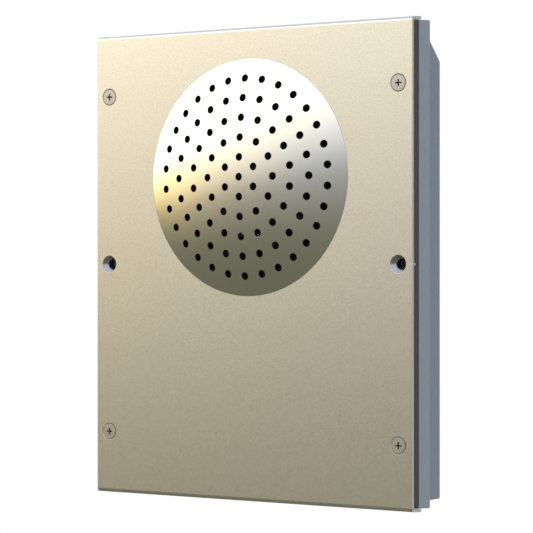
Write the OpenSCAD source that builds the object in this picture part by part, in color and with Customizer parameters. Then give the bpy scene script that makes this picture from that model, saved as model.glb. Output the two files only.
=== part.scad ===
// Wall-mounted intercom speaker panel: a bent metal front with a perforated dome over a
// shallow loudspeaker, sealed by a foam gasket to a stepped back box with its line board.
// X is to the right, Y runs back into the wall and Z is up. The origin is the middle of the
// box's back face. Depths are counted from the panel's front face.

/* [Front panel] */
// Width of the front panel
panel_w = 194; // [185:1:230]
// Height of the front panel
panel_h = 240; // [225:1:300]
// Sheet thickness of the front panel
panel_t = 1.5; // [1.2:0.1:2]
// Inside radius of the bends at the top and bottom
bend_in_r = 0.5; // [0.3:0.1:1.5]
// Depth of the bent lips from the front face
lip_d = 9; // [6:0.1:12]
// Lean of the lips, and of the rim's top and bottom between them, in degrees
lip_lean = 4; // [0:0.5:5]

/* [Grille dome] */
// Diameter of the dome at the panel's face
dome_d = 120; // [114:1:130]
// Height of the dome above the panel's face
dome_h = 8; // [5:0.5:12]
// Sheet thickness of the dome
dome_t = 1.2; // [0.8:0.1:1.5]
// Width of the dome's flange behind the panel
flange_w = 5; // [4:0.5:7]
// Gap between the dome and its opening
dome_fit = 0.15; // [0.1:0.05:0.4]
// Diameter of a sound hole
sound_hole_d = 4; // [2:0.1:4.5]
// Distance from one ring of sound holes to the next
ring_pitch = 10; // [6:0.5:10.5]
// Rings of sound holes round the middle one
ring_count = 5; // [2:1:5]

/* [Gasket] */
// Thickness of the gasket between panel and box
gasket_t = 4.9; // [3:0.1:6.5]
// Width of the gasket along the top and bottom
gasket_band = 8; // [6:0.5:10]
// Width of the gasket along the sides
gasket_side = 20; // [19:0.5:24]
// Gap between the gasket and the pieces next to it
gasket_fit = 0.12; // [0.1:0.01:0.4]
// How far the gasket stops short of the rim's top and bottom
gasket_short = 0.7; // [0.7:0.1:2]

/* [Back box] */
// Depth of the rim behind the gasket
rim_d = 10.6; // [9:0.1:14]
// Depth of the tub behind the rim
tub_d = 15.1; // [14:0.1:25]
// Step in from the rim to the tub
tub_step = 3.3; // [2:0.1:3.5]
// How far the slope starts below the tub's top
slope_drop = 0.6; // [0.2:0.1:3]
// Wall thickness of the box
wall = 2.5; // [2:0.1:3]
// Corner radius of the box
corner_r = 0.8; // [0.5:0.1:6]
// Gap between the rim and the panel's lips
lip_gap = 0.2; // [0.2:0.1:1]

/* [Fasteners] */
// Distance from the panel's side to the screws
screw_inset = 8; // [7.5:0.1:8.5]
// Distance between the upper and the lower screws
screw_pitch = 176; // [150:1:180]
// Thread diameter of the panel screws
screw_d = 3.9; // [3:0.1:4]
// Length of the panel screws
screw_l = 14; // [11:0.5:14.5]
// Bore for the panel screws and the wall screws
screw_bore_d = 4.5; // [4.1:0.1:4.8]
// Width of the countersinks at the panel's face
sink_d = 9; // [8:0.1:9.5]
// Depth of the screw heads below the panel's face
head_drop = 0.1; // [0.05:0.05:0.8]
// Gap between a screw head and its countersink
head_fit = 0.05; // [0.03:0.01:0.2]
// Height of a screw head's straight edge
head_land = 0.2; // [0.1:0.05:0.4]
// Outside diameter of the bushes under the panel screws
screw_bush_d = 11; // [10:0.1:12]
// Flange diameter of the bushes for the wall screws
fixing_bush_d = 15.8; // [12:0.1:15.8]
// Flange thickness of the bushes for the wall screws
fixing_bush_t = 2; // [1.5:0.1:3]
// Outside diameter of the threaded inserts
insert_d = 5.6; // [5:0.1:6]
// Length of the threaded inserts
insert_l = 8; // [5:0.5:9]
// Outside diameter of the box's screw pillars
pillar_d = 9.2; // [8.5:0.1:10]

/* [Loudspeaker] */
// Width of the half-round surround
surround_w = 8; // [6:0.5:9]
// Thickness of the foam seal behind the dome
seal_t = 2; // [1.5:0.1:3]
// Width of the foam seal, from the dome's flange inwards
seal_w = 8; // [7:0.5:10]
// Thickness of the basket's steel
basket_t = 1.2; // [0.8:0.1:1.5]
// Thickness of the cone
cone_t = 0.6; // [0.4:0.1:0.8]
// Depth of the cone from rim to neck
cone_d = 6.2; // [5:0.1:6.5]
// Radius of the voice coil former
former_r = 8; // [7:0.1:9]
// Wall of the voice coil former
former_t = 0.2; // [0.15:0.05:0.3]
// Thickness of the winding on the former
coil_t = 0.35; // [0.2:0.05:0.5]
// Length of the winding
coil_l = 5; // [4:0.1:5.5]
// Gap each side of the voice coil
coil_gap = 0.35; // [0.3:0.05:0.6]
// Radius of the magnet
magnet_r = 25; // [22:0.5:30]
// Thickness of the front pole plate
pole_plate_t = 3; // [2:0.1:3.5]
// Thickness of the rear pole plate
yoke_t = 2.3; // [2:0.1:3]
// Travel of the cone each way
cone_travel = 1.5; // [1:0.1:2]
// Gap between the magnet and the box
magnet_gap = 1; // [0.5:0.1:2]
// Diameter of the studs that hold the basket
stud_d = 4; // [3:0.5:4]
// Length of the studs
stud_l = 11; // [9.5:0.5:12]

/* [Line board] */
// Width of the line board
board_w = 92; // [88:1:100]
// Height of the line board
board_h = 50; // [46:1:56]
// Thickness of the line board
board_t = 1.6; // [1:0.1:2]
// Height of the board above the box's back wall
standoff_l = 5; // [4:0.5:7]
// Place of the board's middle to the right of the box's middle
board_x = 12; // [8:1:16]
// Distance from the panel's bottom to the board's middle
board_rise = 50; // [46:1:60]
// Screw ways in the terminal block
way_count = 4; // [2:1:6]
// Distance between the ways
way_pitch = 5.08; // [5:0.01:5.1]

/* [Cable entry] */
// Bore of the cable grommet
cable_d = 8; // [5:0.5:9]
// Distance from the panel's left side to the cable entry
cable_inset = 35; // [30:1:40]
// Distance from the panel's bottom to the cable entry
cable_rise = 50; // [40:1:70]

/* [Hidden] */
$fn = 96;
// Sides of the large circles that shape the caps
arc_sides = 720;
// Overlap of a cut past the face that it opens
cut = 1;
// Gap of a stud, a screw or a tab in its hole
fit = 0.1;

// Depths of the box, counted from the panel's front face
rim_front = panel_t + gasket_t;
rim_back = rim_front + rim_d;
depth = rim_back + tub_d;
back_in = depth - wall;

// Half sizes of the box, whose rim leans out with the lips that it lies between
lean = tan(lip_lean);
bend_back = panel_t + bend_in_r;
rim_hw = panel_w / 2;
rim_hh = panel_h / 2 - panel_t - lip_gap + (rim_front - bend_back) * lean;
rim_back_hh = rim_hh + rim_d * lean;
tub_hw = rim_hw - tub_step;
tub_hh = rim_back_hh - tub_step;

// The tub's top slopes at 45 degrees from the rim to the back face
slope_wall = wall * sqrt(2);
slope_start = tub_hh - slope_drop;
slope_end = slope_start - tub_d;

// Screws and wall fixings, on two vertical lines
screw_x = panel_w / 2 - screw_inset;
screw_z = screw_pitch / 2;
screw_places = [for (x = [-screw_x, screw_x], z = [-screw_z, screw_z]) [x, z]];
fixing_places = [[-screw_x, 0], [screw_x, 0]];
sink_r = sink_d / 2;
bore_r = screw_bore_d / 2;
head_r = sink_r - head_drop - head_land - head_fit;
recess_l = 3.6;
recess_w = 0.7;
recess_d = 1.8;
insert_room = 1;
insert_bands = 5;
insert_groove = 0.4;

// Dome and what is stacked behind it
dome_r = dome_d / 2;
flange_r = dome_r + flange_w;
flange_gap = 1.3;
dome_z = panel_h / 2 - panel_t - lip_gap - gasket_band - flange_gap - flange_r;
flange_back = panel_t + dome_t;
basket_front = flange_back + seal_t;
basket_back = basket_front + basket_t;

// Loudspeaker radii, from the dome's flange inwards
glue_w = 2.5;
glue_gap = 0.5;
seal_in_r = flange_r - seal_w;
roll_r = seal_in_r - glue_gap - glue_w;
cone_r = roll_r - surround_w;
basket_lip = 5;
basket_r = seal_in_r + basket_lip;
stud_gap = 5;
stud_r = flange_r + stud_gap;
ear_r = 7;
ear_root = 2;
washer_r = stud_d;
washer_t = 0.8;
nut_r = stud_d;
nut_t = 3.2;
washer_back = basket_back + washer_t;
nut_back = washer_back + nut_t;

// Loudspeaker depths, from the cone's rim backwards
rim_drop = 0.3;
surround_t = 0.6;
cone_rim = basket_front + rim_drop;
cone_neck = cone_rim + cone_d;
shelf_d = 7.1;
shelf_front = basket_back + shelf_d;
shelf_back = shelf_front + basket_t;
shelf_gap = 8;
shelf_w = 10;
shelf_r = cone_r - shelf_gap;
well_r = shelf_r - shelf_w;
well_room = 0.8;
base_front = shelf_back + cone_travel + well_room;
base_back = base_front + basket_t;
base_gap = 5;
basket_lean = 1.3 * basket_t;
window_w = 32;
window_edge = 1;
window_top = basket_back + window_edge;
window_base = shelf_front - window_edge / 2;
plate_back = base_back + pole_plate_t;
magnet_back = back_in - magnet_gap - yoke_t;
former_out = former_r + former_t;
coil_out = former_out + coil_t;
pole_r = former_r - coil_gap;
plate_in_r = coil_out + coil_gap;
plate_inset = 1;
magnet_in_gap = 3;
plate_r = magnet_r - plate_inset;
magnet_in_r = plate_in_r + magnet_in_gap;
former_rise = 0.5;
coil_front = base_back + pole_plate_t / 2 - coil_l / 2;
coil_back = coil_front + coil_l;
spider_t = 0.5;
spider_drop = 1.4;
spider_wave = 0.5;
spider_waves = 4;
spider_steps = 48;
cap_r = 13;
cap_h = 3.5;

// Tag strip on the foot of the basket
strip_w = 20;
strip_h = 11;
strip_t = 1.5;
strip_back = basket_back + strip_t;
strip_top = seal_in_r;
tag_w = 3;
tag_l = 12;
tag_t = 0.5;
tag_x = 6;
tag_drop = 1;
tag_eye_r = 0.7;
tag_back = strip_back + tag_t;

// Line board and what stands on it
board_z = board_rise - panel_h / 2;
board_back = back_in - standoff_l;
board_front = board_back - board_t;
board_corner_r = 1.5;
post_inset = 4.5;
post_r = 3.2;
pilot_r = 1.25;
board_bore_r = 1.6;
board_head_r = 2.8;
board_head_l = 2;
board_slot = [3, 0.7, 1];
tip_room = 1;
post_places = [for (x = [-1, 1], z = [-1, 1])
    [board_x + x * (board_w / 2 - post_inset), board_z + z * (board_h / 2 - post_inset)]];
block_w = way_count * way_pitch;
block_h = 9;
block_d = 10;
block_left = 14;
block_foot = 2;
block_x = board_x - board_w / 2 + block_left + block_w / 2;
block_z = board_z - board_h / 2 + block_foot + block_h / 2;
block_front = board_front - block_d;
way_r = 1.9;
way_d = 5;
way_sunk = 1.5;
way_slot_w = 0.6;
way_slot_d = 1;
mouth_r = 1.4;
mouth_rise = 3;
mouth_end = 2;
core_w = 30;
core_h = 25;
core_leg = 9;
core_frame = 5;
core_stack = 8;
winding_t = 3.2;
winding_fit = 0.15;
core_right = 10;
core_x = board_x + board_w / 2 - core_right - core_w / 2;
core_mid = board_front - winding_t - core_stack / 2;
capacitor_r = 5;
capacitor_l = 11;
capacitor_x = block_x;
capacitor_rise = 4;
capacitor_z = board_z + capacitor_rise;
header_w = 8;
header_h = 6;
header_d = 6;
header_left = 16;
header_top = 2;
header_x = board_x - board_w / 2 + header_left;
header_z = board_z + board_h / 2 - header_top - header_h / 2;
header_front = board_front - header_d;

// Cable grommet, sunk into a pocket of the back wall
cable_x = panel_w / 2 - cable_inset;
cable_z = cable_rise - panel_h / 2;
lip_w = 2;
lip_t = 1.5;
neck_w = 4;
neck_r = cable_d / 2 + neck_w;
grommet_r = neck_r + lip_w;
pocket_gap = 1;
pocket_r = grommet_r + pocket_gap;
pocket_d = lip_t + pocket_gap;
pocket_front = depth - pocket_d - wall;

// Colours
sand_metal = [0.78, 0.73, 0.62];
bright_metal = [0.80, 0.79, 0.76];
slate_plastic = [0.47, 0.52, 0.56];
dark_foam = [0.16, 0.16, 0.15];
nickel = [0.72, 0.70, 0.64];
brass = [0.78, 0.62, 0.30];
black_steel = [0.12, 0.12, 0.13];
board_green = [0.10, 0.36, 0.20];

// Leads from the header to the tags. Each step is a part of the way in x, depth and height,
// chosen by hand.
lead_r = 0.6;
lead_out = 2;
lead_bend = 2.5;
lead_lap = 4;
lead_steps = [[0, 0, 0], [0, 0.32, 0], [0, 0.5, 0.09], [0.16, 0.61, 0.33],
    [0.52, 0.69, 0.59], [0.86, 0.78, 0.85], [1, 0.91, 1]];
tag_end = dome_z - strip_top - tag_drop - tag_l;

// Leads from the tags through the basket's window to the back of the cone
tinsel_r = 0.4;
tinsel_lap = 3;
tinsel_sag = 3.1;
tinsel_in = 16;
tinsel_end = cone_r - tinsel_in;
tinsel_x = 5.1;
tinsel_drift = 4.1;
cord_sides = 8;
cord_steps = 3;

// Extrudes a flat shape of x and z between two depths
module slab(from, to) {
    translate([0, to - depth, 0]) rotate([90, 0, 0]) linear_extrude(to - from) children();
}

// Extrudes a side view of depth and z to a width across x
module across(w) {
    translate([-w / 2, -depth, 0]) rotate([90, 0, 90]) linear_extrude(w) children();
}

// Turns a profile of radius and depth about the Y axis
module turned(points) {
    translate([0, -depth, 0]) rotate([-90, 0, 0]) rotate_extrude() polygon(points);
}

// Round bar along Y between two depths
module bar(r, from, to) {
    translate([0, from - depth, 0]) rotate([-90, 0, 0]) cylinder(r = r, h = to - from);
}

// Cone along Y between two depths
module taper(r_from, r_to, from, to) {
    translate([0, from - depth, 0]) rotate([-90, 0, 0])
        cylinder(r1 = r_from, r2 = r_to, h = to - from);
}

// Round ring along Y between two depths
module ring(r_in, r_out, from, to) {
    difference() {
        bar(r_out, from, to);
        bar(r_in, from - cut, to + cut);
    }
}

// Repeats a piece at places of x and z
module at_places(places) {
    for (p = places) translate([p[0], 0, p[1]]) children();
}

// Puts a piece on the loudspeaker's axis
module on_speaker() {
    translate([0, 0, dome_z]) children();
}

// Repeats a piece at the four ears of the basket
module at_ears() {
    for (turn = [45 : 90 : 315])
        translate([stud_r * cos(turn), 0, stud_r * sin(turn)]) children();
}

// Rectangle of half width and half height with round corners
module round_rect(hw, hh, r) {
    square([2 * (hw - r), 2 * hh], center = true);
    square([2 * hw, 2 * (hh - r)], center = true);
    for (x = [r - hw, hw - r], z = [r - hh, hh - r]) translate([x, z]) circle(r);
}

// Side view of a channel whose two front corners are round and whose lips lean out
module channel_side(front, back, hh, r) {
    end = hh + (back - front - r) * lean;
    polygon([[front + r, -hh], [back, -end], [back, end], [front + r, hh]]);
    translate([front, r - hh]) square([back - front, 2 * (hh - r)]);
    for (z = [r - hh, hh - r]) translate([front + r, z]) circle(r);
}

// Points of a smooth route through the given points
function curve_point(a, b, c, d, t) =
    0.5 * (2 * b + (c - a) * t + (2 * a - 5 * b + 4 * c - d) * t * t
    + (3 * b - a - 3 * c + d) * t * t * t);
function smooth_route(p) = concat([for (i = [0 : len(p) - 2], s = [0 : cord_steps - 1])
    curve_point(p[max(i - 1, 0)], p[i], p[i + 1], p[min(i + 2, len(p) - 1)], s / cord_steps)],
    [p[len(p) - 1]]);
function unit(v) = v / norm(v);
function heading(p, i) = unit(p[min(i + 1, len(p) - 1)] - p[max(i - 1, 0)]);
function ring_points(p, i, r) = let (
        along = heading(p, i),
        side = unit(cross(along, [1, 0, 0])),
        up = cross(along, side))
    [for (k = [0 : cord_sides - 1])
        p[i] + r * (cos(360 * k / cord_sides) * side + sin(360 * k / cord_sides) * up)];

// Tube along a route
module cord(route, r) {
    path = smooth_route(route);
    n = cord_sides;
    last = (len(path) - 1) * n;
    points = [for (i = [0 : len(path) - 1]) each ring_points(path, i, r)];
    walls = [for (i = [0 : len(path) - 2], k = [0 : n - 1]) let (
            a = i * n + k,
            b = i * n + (k + 1) % n)
        each [[a, a + n, b], [b, a + n, b + n]]];
    ends = [for (k = [1 : n - 2]) each [[0, k, k + 1], [last, last + k + 1, last + k]]];
    translate([0, -depth, 0]) polyhedron(points, concat(walls, ends));
}

// Bent metal front with its dome opening, countersinks and bores
module front_panel() {
    color(sand_metal) difference() {
        across(panel_w) difference() {
            channel_side(0, lip_d, panel_h / 2, bend_back);
            channel_side(panel_t, lip_d + cut, panel_h / 2 - panel_t, bend_in_r);
        }
        on_speaker() bar(dome_r + dome_fit, -cut, panel_t + cut);
        at_places(concat(screw_places, fixing_places))
            taper(sink_r + cut, sink_r - panel_t - cut, -cut, panel_t + cut);
    }
}

// Thin cap of a ball about the Y axis, whose top is h above its base
module cap(r, h, t, base, to) {
    ball = (r * r + h * h) / (2 * h);
    translate([0, -depth, 0]) rotate([-90, 0, 0]) rotate_extrude() intersection() {
        translate([0, base - h + ball]) difference() {
            circle(ball, $fn = arc_sides);
            circle(ball - t, $fn = arc_sides);
        }
        translate([0, base - h - cut]) square([r, to - base + h + cut]);
    }
}

// Pressed dome with rings of sound holes and a flange behind the panel
module grille_dome() {
    color(bright_metal) on_speaker() difference() {
        union() {
            cap(dome_r, dome_h, dome_t, 0, dome_t / 2);
            ring(dome_r - dome_t, dome_r, dome_t / 3, flange_back);
            ring(dome_r - dome_t, flange_r, panel_t, flange_back);
        }
        for (k = [0 : ring_count], i = [0 : max(6 * k, 1) - 1]) {
            turn = 360 * i / max(6 * k, 1);
            translate([k * ring_pitch * sin(turn), 0, k * ring_pitch * cos(turn)])
                bar(sound_hole_d / 2, -dome_h - cut, flange_back + cut, $fn = 32);
        }
    }
}

// Foam frame between the panel and the box, cut out round the bushes
module panel_gasket() {
    color(dark_foam) difference() {
        slab(panel_t, rim_front) difference() {
            round_rect(rim_hw, rim_hh - gasket_short, corner_r);
            square([2 * (rim_hw - gasket_side), 2 * (rim_hh - gasket_band)], center = true);
        }
        at_places(screw_places)
            bar(screw_bush_d / 2 + gasket_fit, panel_t - cut, rim_front + cut);
        at_places(fixing_places)
            bar(fixing_bush_d / 2 + gasket_fit, panel_t - cut, rim_front + cut);
    }
}

// Outer form of the box: a rim, and a tub behind it with a sloping top
module box_outside() {
    intersection() {
        slab(rim_front, rim_back) round_rect(rim_hw, rim_back_hh, corner_r);
        across(panel_w) polygon([[rim_front, -rim_hh], [rim_back, -rim_back_hh],
            [rim_back, rim_back_hh], [rim_front, rim_hh]]);
    }
    intersection() {
        slab(rim_front, depth) round_rect(tub_hw, tub_hh, corner_r);
        across(panel_w) polygon([[rim_front, -tub_hh], [depth, -tub_hh], [depth, slope_end],
            [rim_back, slope_start], [rim_front, slope_start]]);
    }
}

// Room inside the box
module box_inside() {
    slab(rim_front - cut, rim_back - wall) round_rect(rim_hw - wall, rim_hh - wall, corner_r / 2);
    intersection() {
        slab(rim_front - cut, back_in) round_rect(tub_hw - wall, tub_hh - wall, corner_r / 2);
        across(panel_w) polygon([[rim_front - cut, wall - tub_hh], [back_in, wall - tub_hh],
            [back_in, slope_end + wall - slope_wall],
            [rim_back + wall - slope_wall - slope_drop, tub_hh - wall],
            [rim_front - cut, tub_hh - wall]]);
    }
}

// Moulded back box with its pillars, board posts and cable pocket
module back_box() {
    color(slate_plastic) difference() {
        union() {
            difference() {
                box_outside();
                box_inside();
            }
            intersection() {
                box_outside();
                union() {
                    at_places(concat(screw_places, fixing_places))
                        bar(pillar_d / 2, rim_front, depth);
                    at_places(post_places) bar(post_r, board_back, depth);
                    translate([-cable_x, 0, cable_z]) bar(pocket_r + wall, pocket_front, depth);
                }
            }
        }
        at_places(screw_places)
            bar(insert_d / 2, rim_front - cut, rim_front + insert_l + insert_room);
        at_places(fixing_places) bar(bore_r, rim_front - cut, depth + cut);
        at_places(post_places) bar(pilot_r, board_back - cut, back_in);
        translate([-cable_x, 0, cable_z]) {
            bar(neck_r, pocket_front - cut, depth);
            bar(pocket_r, depth - pocket_d, depth + cut);
        }
    }
}

// Countersunk cross-head screws that hold the panel to the box
module panel_screws() {
    r = screw_d / 2;
    tip = head_drop + screw_l;
    color(nickel) at_places(screw_places) difference() {
        turned([[0, head_drop], [head_r, head_drop], [head_r, head_drop + head_land],
            [r, head_drop + head_land + head_r - r], [r, tip - r / 2], [r / 2, tip], [0, tip]]);
        slab(head_drop - cut, head_drop + recess_d) {
            square([recess_l, recess_w], center = true);
            square([recess_w, recess_l], center = true);
        }
    }
}

// Profile of a bush that carries on the panel's countersink
function bush_profile(outline) = concat([[sink_r - panel_t, panel_t]], outline,
    [[bore_r, rim_front], [bore_r, sink_r - bore_r]]);

// Bushes under the panel screws, as tall as the gasket is thick
module screw_bushes() {
    r = screw_bush_d / 2;
    color(bright_metal) at_places(screw_places)
        turned(bush_profile([[r, panel_t], [r, rim_front]]));
}

// Flanged bushes for the two wall screws
module fixing_bushes() {
    r = fixing_bush_d / 2;
    foot = pillar_d / 2;
    color(bright_metal) at_places(fixing_places)
        turned(bush_profile([[r, panel_t], [r, panel_t + fixing_bush_t],
            [foot, panel_t + fixing_bush_t], [foot, rim_front]]));
}

// Threaded inserts in the box's pillars
module screw_inserts() {
    r = insert_d / 2;
    band = insert_l / insert_bands;
    color(brass) at_places(screw_places) difference() {
        for (k = [0 : insert_bands - 1])
            bar(r - (k % 2) * insert_groove, rim_front + k * band, rim_front + (k + 1) * band);
        bar(screw_d / 2 + fit / 2, rim_front - cut, rim_front + insert_l + cut);
    }
}

// Studs on the back of the panel
module speaker_studs() {
    color(nickel) on_speaker() at_ears() bar(stud_d / 2, panel_t, panel_t + stud_l);
}

// Washers on the basket's ears
module speaker_washers() {
    color(nickel) on_speaker() at_ears()
        ring(stud_d / 2 + fit, washer_r, basket_back, washer_back);
}

// Nuts on the studs
module speaker_nuts() {
    color(nickel) on_speaker() at_ears() difference() {
        slab(washer_back, nut_back) circle(r = nut_r, $fn = 6);
        bar(stud_d / 2 + fit / 2, washer_back - cut, nut_back + cut);
    }
}

// Foam ring between the dome's flange and the basket
module speaker_seal() {
    color(dark_foam) on_speaker() ring(seal_in_r, flange_r, flange_back, basket_front);
}

// Pressed basket: front ring with ears, cone wall with windows, spider shelf and base
module speaker_basket() {
    color(black_steel) on_speaker() difference() {
        union() {
            turned([[roll_r, basket_front], [basket_r, basket_front], [basket_r, basket_back],
                [roll_r + basket_lean, basket_back],
                [shelf_r + basket_lean, shelf_back],
                [well_r + basket_t, shelf_back], [well_r + basket_t, base_back],
                [plate_in_r + base_gap, base_back], [plate_in_r + base_gap, base_front],
                [well_r, base_front], [well_r, shelf_front], [shelf_r, shelf_front],
                [roll_r, basket_back]]);
            intersection() {
                slab(basket_front, basket_back) for (turn = [45 : 90 : 315]) rotate(turn) {
                    translate([basket_r - ear_root, -ear_r])
                        square([stud_r - basket_r + ear_root, 2 * ear_r]);
                    translate([stud_r, 0]) circle(ear_r);
                }
                ring(basket_r - ear_root, stud_r + ear_r, basket_front - cut, basket_back + cut);
            }
        }
        at_ears() bar(stud_d / 2 + fit, basket_front - cut, basket_back + cut);
        for (turn = [0 : 90 : 270]) rotate([0, turn, 0])
            translate([-window_w / 2, window_top - depth, -roll_r])
                cube([window_w, window_base - window_top, roll_r - shelf_r - basket_lean]);
    }
}

// Half-round rubber surround between the cone's rim and the basket's ring
module cone_surround() {
    mid = cone_r + surround_w / 2;
    r_out = surround_w / 2;
    r_in = r_out - surround_t;
    base = basket_front;
    color([0.08, 0.08, 0.08]) on_speaker() union() {
        intersection() {
            translate([0, base - depth, 0]) rotate([-90, 0, 0]) rotate_extrude()
                translate([mid, 0]) difference() {
                    circle(r_out);
                    circle(r_in);
                }
            bar(roll_r + cut, base - surround_w, base);
        }
        ring(roll_r - surround_t, roll_r + glue_w, base - surround_t, base);
        ring(cone_r - glue_w, cone_r + surround_t, base - surround_t, base);
    }
}

// Cone of clear-coated film, glued under the surround's inner edge
module speaker_cone() {
    edge = cone_r - glue_w;
    color([0.10, 0.10, 0.11]) on_speaker()
        turned([[former_out + fit, cone_neck], [edge, cone_rim], [cone_r, cone_rim],
            [cone_r, cone_rim + cone_t], [edge, cone_rim + cone_t],
            [former_out + fit, cone_neck + cone_t]]);
}

// Height of the cone's front face at a radius
function cone_face(r) = cone_neck
    - cone_d * (r - former_out - fit) / (cone_r - glue_w - former_out - fit);

// Dome over the middle of the cone
module dust_cap() {
    base = cone_face(cap_r) - fit;
    color([0.14, 0.14, 0.15]) on_speaker() cap(cap_r, cap_h, cone_t, base, base);
}

// Tube that carries the winding
module coil_former() {
    color([0.72, 0.60, 0.38]) on_speaker() 
        ring(former_r, former_out, cone_neck - former_rise, coil_back);
}

// Winding at the former's end
module voice_coil() {
    color([0.72, 0.40, 0.20]) on_speaker() ring(former_out, coil_out, coil_front, coil_back);
}

// Corrugated cloth disc that centres the former
module spider() {
    r_in = former_out + fit;
    r_out = shelf_r - 1;
    top = shelf_front - spider_t;
    flat = well_r + 1;
    function drop(r) = r > flat ? 0 : spider_drop * (flat - r) / (flat - r_in)
        - spider_wave * sin(360 * spider_waves * (flat - r) / (flat - r_in));
    front = [for (i = [0 : spider_steps])
        let (r = r_in + (r_out - r_in) * i / spider_steps) [r, top + drop(r)]];
    back = [for (i = [spider_steps : -1 : 0]) [front[i][0], front[i][1] + spider_t]];
    color([0.75, 0.62, 0.35]) on_speaker() turned(concat(front, back));
}

// Front pole plate round the voice coil
module pole_plate() {
    color(nickel) on_speaker() ring(plate_in_r, plate_r, base_back, plate_back);
}

// Ring magnet
module magnet() {
    color([0.20, 0.20, 0.21]) on_speaker() ring(magnet_in_r, magnet_r, plate_back, magnet_back);
}

// Rear plate with the centre pole
module pole_yoke() {
    color(nickel) on_speaker() {
        bar(plate_r, magnet_back, magnet_back + yoke_t);
        bar(pole_r, base_back, magnet_back + yoke_t / 2);
    }
}

// Insulating strip under the basket's foot
module tag_strip() {
    color([0.45, 0.28, 0.14]) on_speaker() slab(basket_back, strip_back)
        translate([-strip_w / 2, -strip_top - strip_h]) square([strip_w, strip_h]);
}

// Solder tags on the strip
module speaker_tags() {
    color(brass) on_speaker() for (x = [-tag_x, tag_x]) slab(strip_back, tag_back) difference() {
        translate([x - tag_w / 2, -strip_top - tag_drop - tag_l]) square([tag_w, tag_l]);
        translate([x, -strip_top - tag_l]) circle(tag_eye_r);
    }
}

// Route of a tinsel lead, with heights counted down from the loudspeaker's axis
function tinsel_route(side) = let (
        x = side * tag_x,
        end_x = side * tinsel_x - tinsel_drift,
        end_z = -sqrt(tinsel_end * tinsel_end - end_x * end_x),
        on_tag = tag_back + tinsel_r + fit / 2,
        through = window_top + tinsel_sag,
        on_cone = cone_face(tinsel_end) + cone_t + tinsel_r + fit / 2)
    [[x, on_tag, -strip_top - tinsel_lap], [x, on_tag + 2 * tinsel_r, -strip_top],
    [x, through, -roll_r + surround_w / 4], [x, through, -cone_r],
    [0.7 * x + 0.3 * end_x, (2 * through + on_cone) / 3, 0.35 * tinsel_in - cone_r],
    [0.3 * x + 0.7 * end_x, on_cone + tinsel_r, 0.7 * tinsel_in - cone_r],
    [end_x, on_cone, end_z]];

// Flexible leads from the tags to the cone
module tinsel_leads() {
    color(brass) on_speaker() for (side = [-1, 1]) cord(tinsel_route(side), tinsel_r);
}

// Board with the line terminals and transformer
module line_board() {
    color(board_green) difference() {
        slab(board_front, board_back) translate([board_x, board_z])
            round_rect(board_w / 2, board_h / 2, board_corner_r);
        at_places(post_places) bar(board_bore_r, board_front - cut, board_back + cut);
    }
}

// Screws that hold the board on the box's posts
module board_screws() {
    head = board_front - board_head_l;
    color(nickel) at_places(post_places) difference() {
        union() {
            bar(board_head_r, head, board_front);
            bar(pilot_r - fit / 2, head + board_slot[2], back_in - tip_room);
        }
        slab(head - cut, head + board_slot[2]) {
            square([board_slot[0], board_slot[1]], center = true);
            square([board_slot[1], board_slot[0]], center = true);
        }
    }
}

// Places of the terminal ways
function way_x(i) = block_x + (i - (way_count - 1) / 2) * way_pitch;
ways = [for (i = [0 : way_count - 1]) way_x(i)];

// Screw terminal block, with wire mouths towards the bottom
module terminal_block() {
    color([0.16, 0.42, 0.30]) difference() {
        slab(block_front, board_front)
            translate([block_x - block_w / 2, block_z - block_h / 2]) square([block_w, block_h]);
        for (x = ways) {
            translate([x, 0, block_z]) bar(way_r, block_front - cut, block_front + way_d);
            translate([x, board_front - mouth_rise - depth, block_z - block_h / 2 - cut])
                cylinder(r = mouth_r, h = block_h + cut - mouth_end);
        }
    }
}

// Clamp screws of the terminal block
module terminal_screws() {
    head = block_front + way_sunk;
    color(nickel) for (x = ways) translate([x, 0, block_z]) difference() {
        bar(way_r - fit, head, block_front + way_d);
        slab(head - cut, head + way_slot_d) square([2 * way_r, way_slot_w], center = true);
    }
}

// Laminated core of the line transformer
module transformer_core() {
    slot_w = (core_w - core_leg) / 2 - core_frame;
    slot_h = core_h - 2 * core_frame;
    color([0.33, 0.33, 0.35]) slab(core_mid - core_stack / 2, core_mid + core_stack / 2)
        translate([core_x, board_z]) difference() {
            square([core_w, core_h], center = true);
            for (x = [-1, 1]) translate([x * (core_leg + slot_w) / 2, 0])
                square([slot_w, slot_h], center = true);
        }
}

// Winding on the core's middle leg
module transformer_winding() {
    hole = core_leg / 2 + winding_fit;
    half_h = core_h / 2 - core_frame - winding_fit;
    half_w = (core_w / 2 - core_frame) - winding_fit;
    half_d = core_stack / 2 + winding_fit;
    color([0.80, 0.66, 0.26]) difference() {
        slab(core_mid - core_stack / 2 - winding_t, board_front)
            translate([core_x, board_z]) square(2 * [half_w, half_h], center = true);
        slab(core_mid - half_d, core_mid + half_d)
            translate([core_x, board_z]) square([2 * hole, core_h], center = true);
    }
}

// Capacitor in the line
module line_capacitor() {
    color([0.16, 0.20, 0.34]) translate([capacitor_x, 0, capacitor_z])
        bar(capacitor_r, board_front - capacitor_l, board_front);
}

// Header for the loudspeaker leads
module lead_header() {
    color([0.90, 0.88, 0.82]) slab(header_front, board_front)
        translate([header_x - header_w / 2, header_z - header_h / 2]) square([header_w, header_h]);
}

// Route of a lead from its side of the header to the tag on the same side
function lead_route(side) = let (
        from = [header_x + side * lead_out, header_front - fit, header_z],
        to = [side * tag_x, tag_back + lead_r + fit, tag_end - lead_bend])
    concat([for (s = lead_steps) [for (i = [0 : 2]) from[i] + (to[i] - from[i]) * s[i]]],
    [to + [0, 0, lead_bend], to + [0, 0, lead_bend + lead_lap]]);

// Lead from the header to the left tag
module speaker_lead_red() {
    color([0.62, 0.08, 0.07]) cord(lead_route(-1), lead_r);
}

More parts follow.
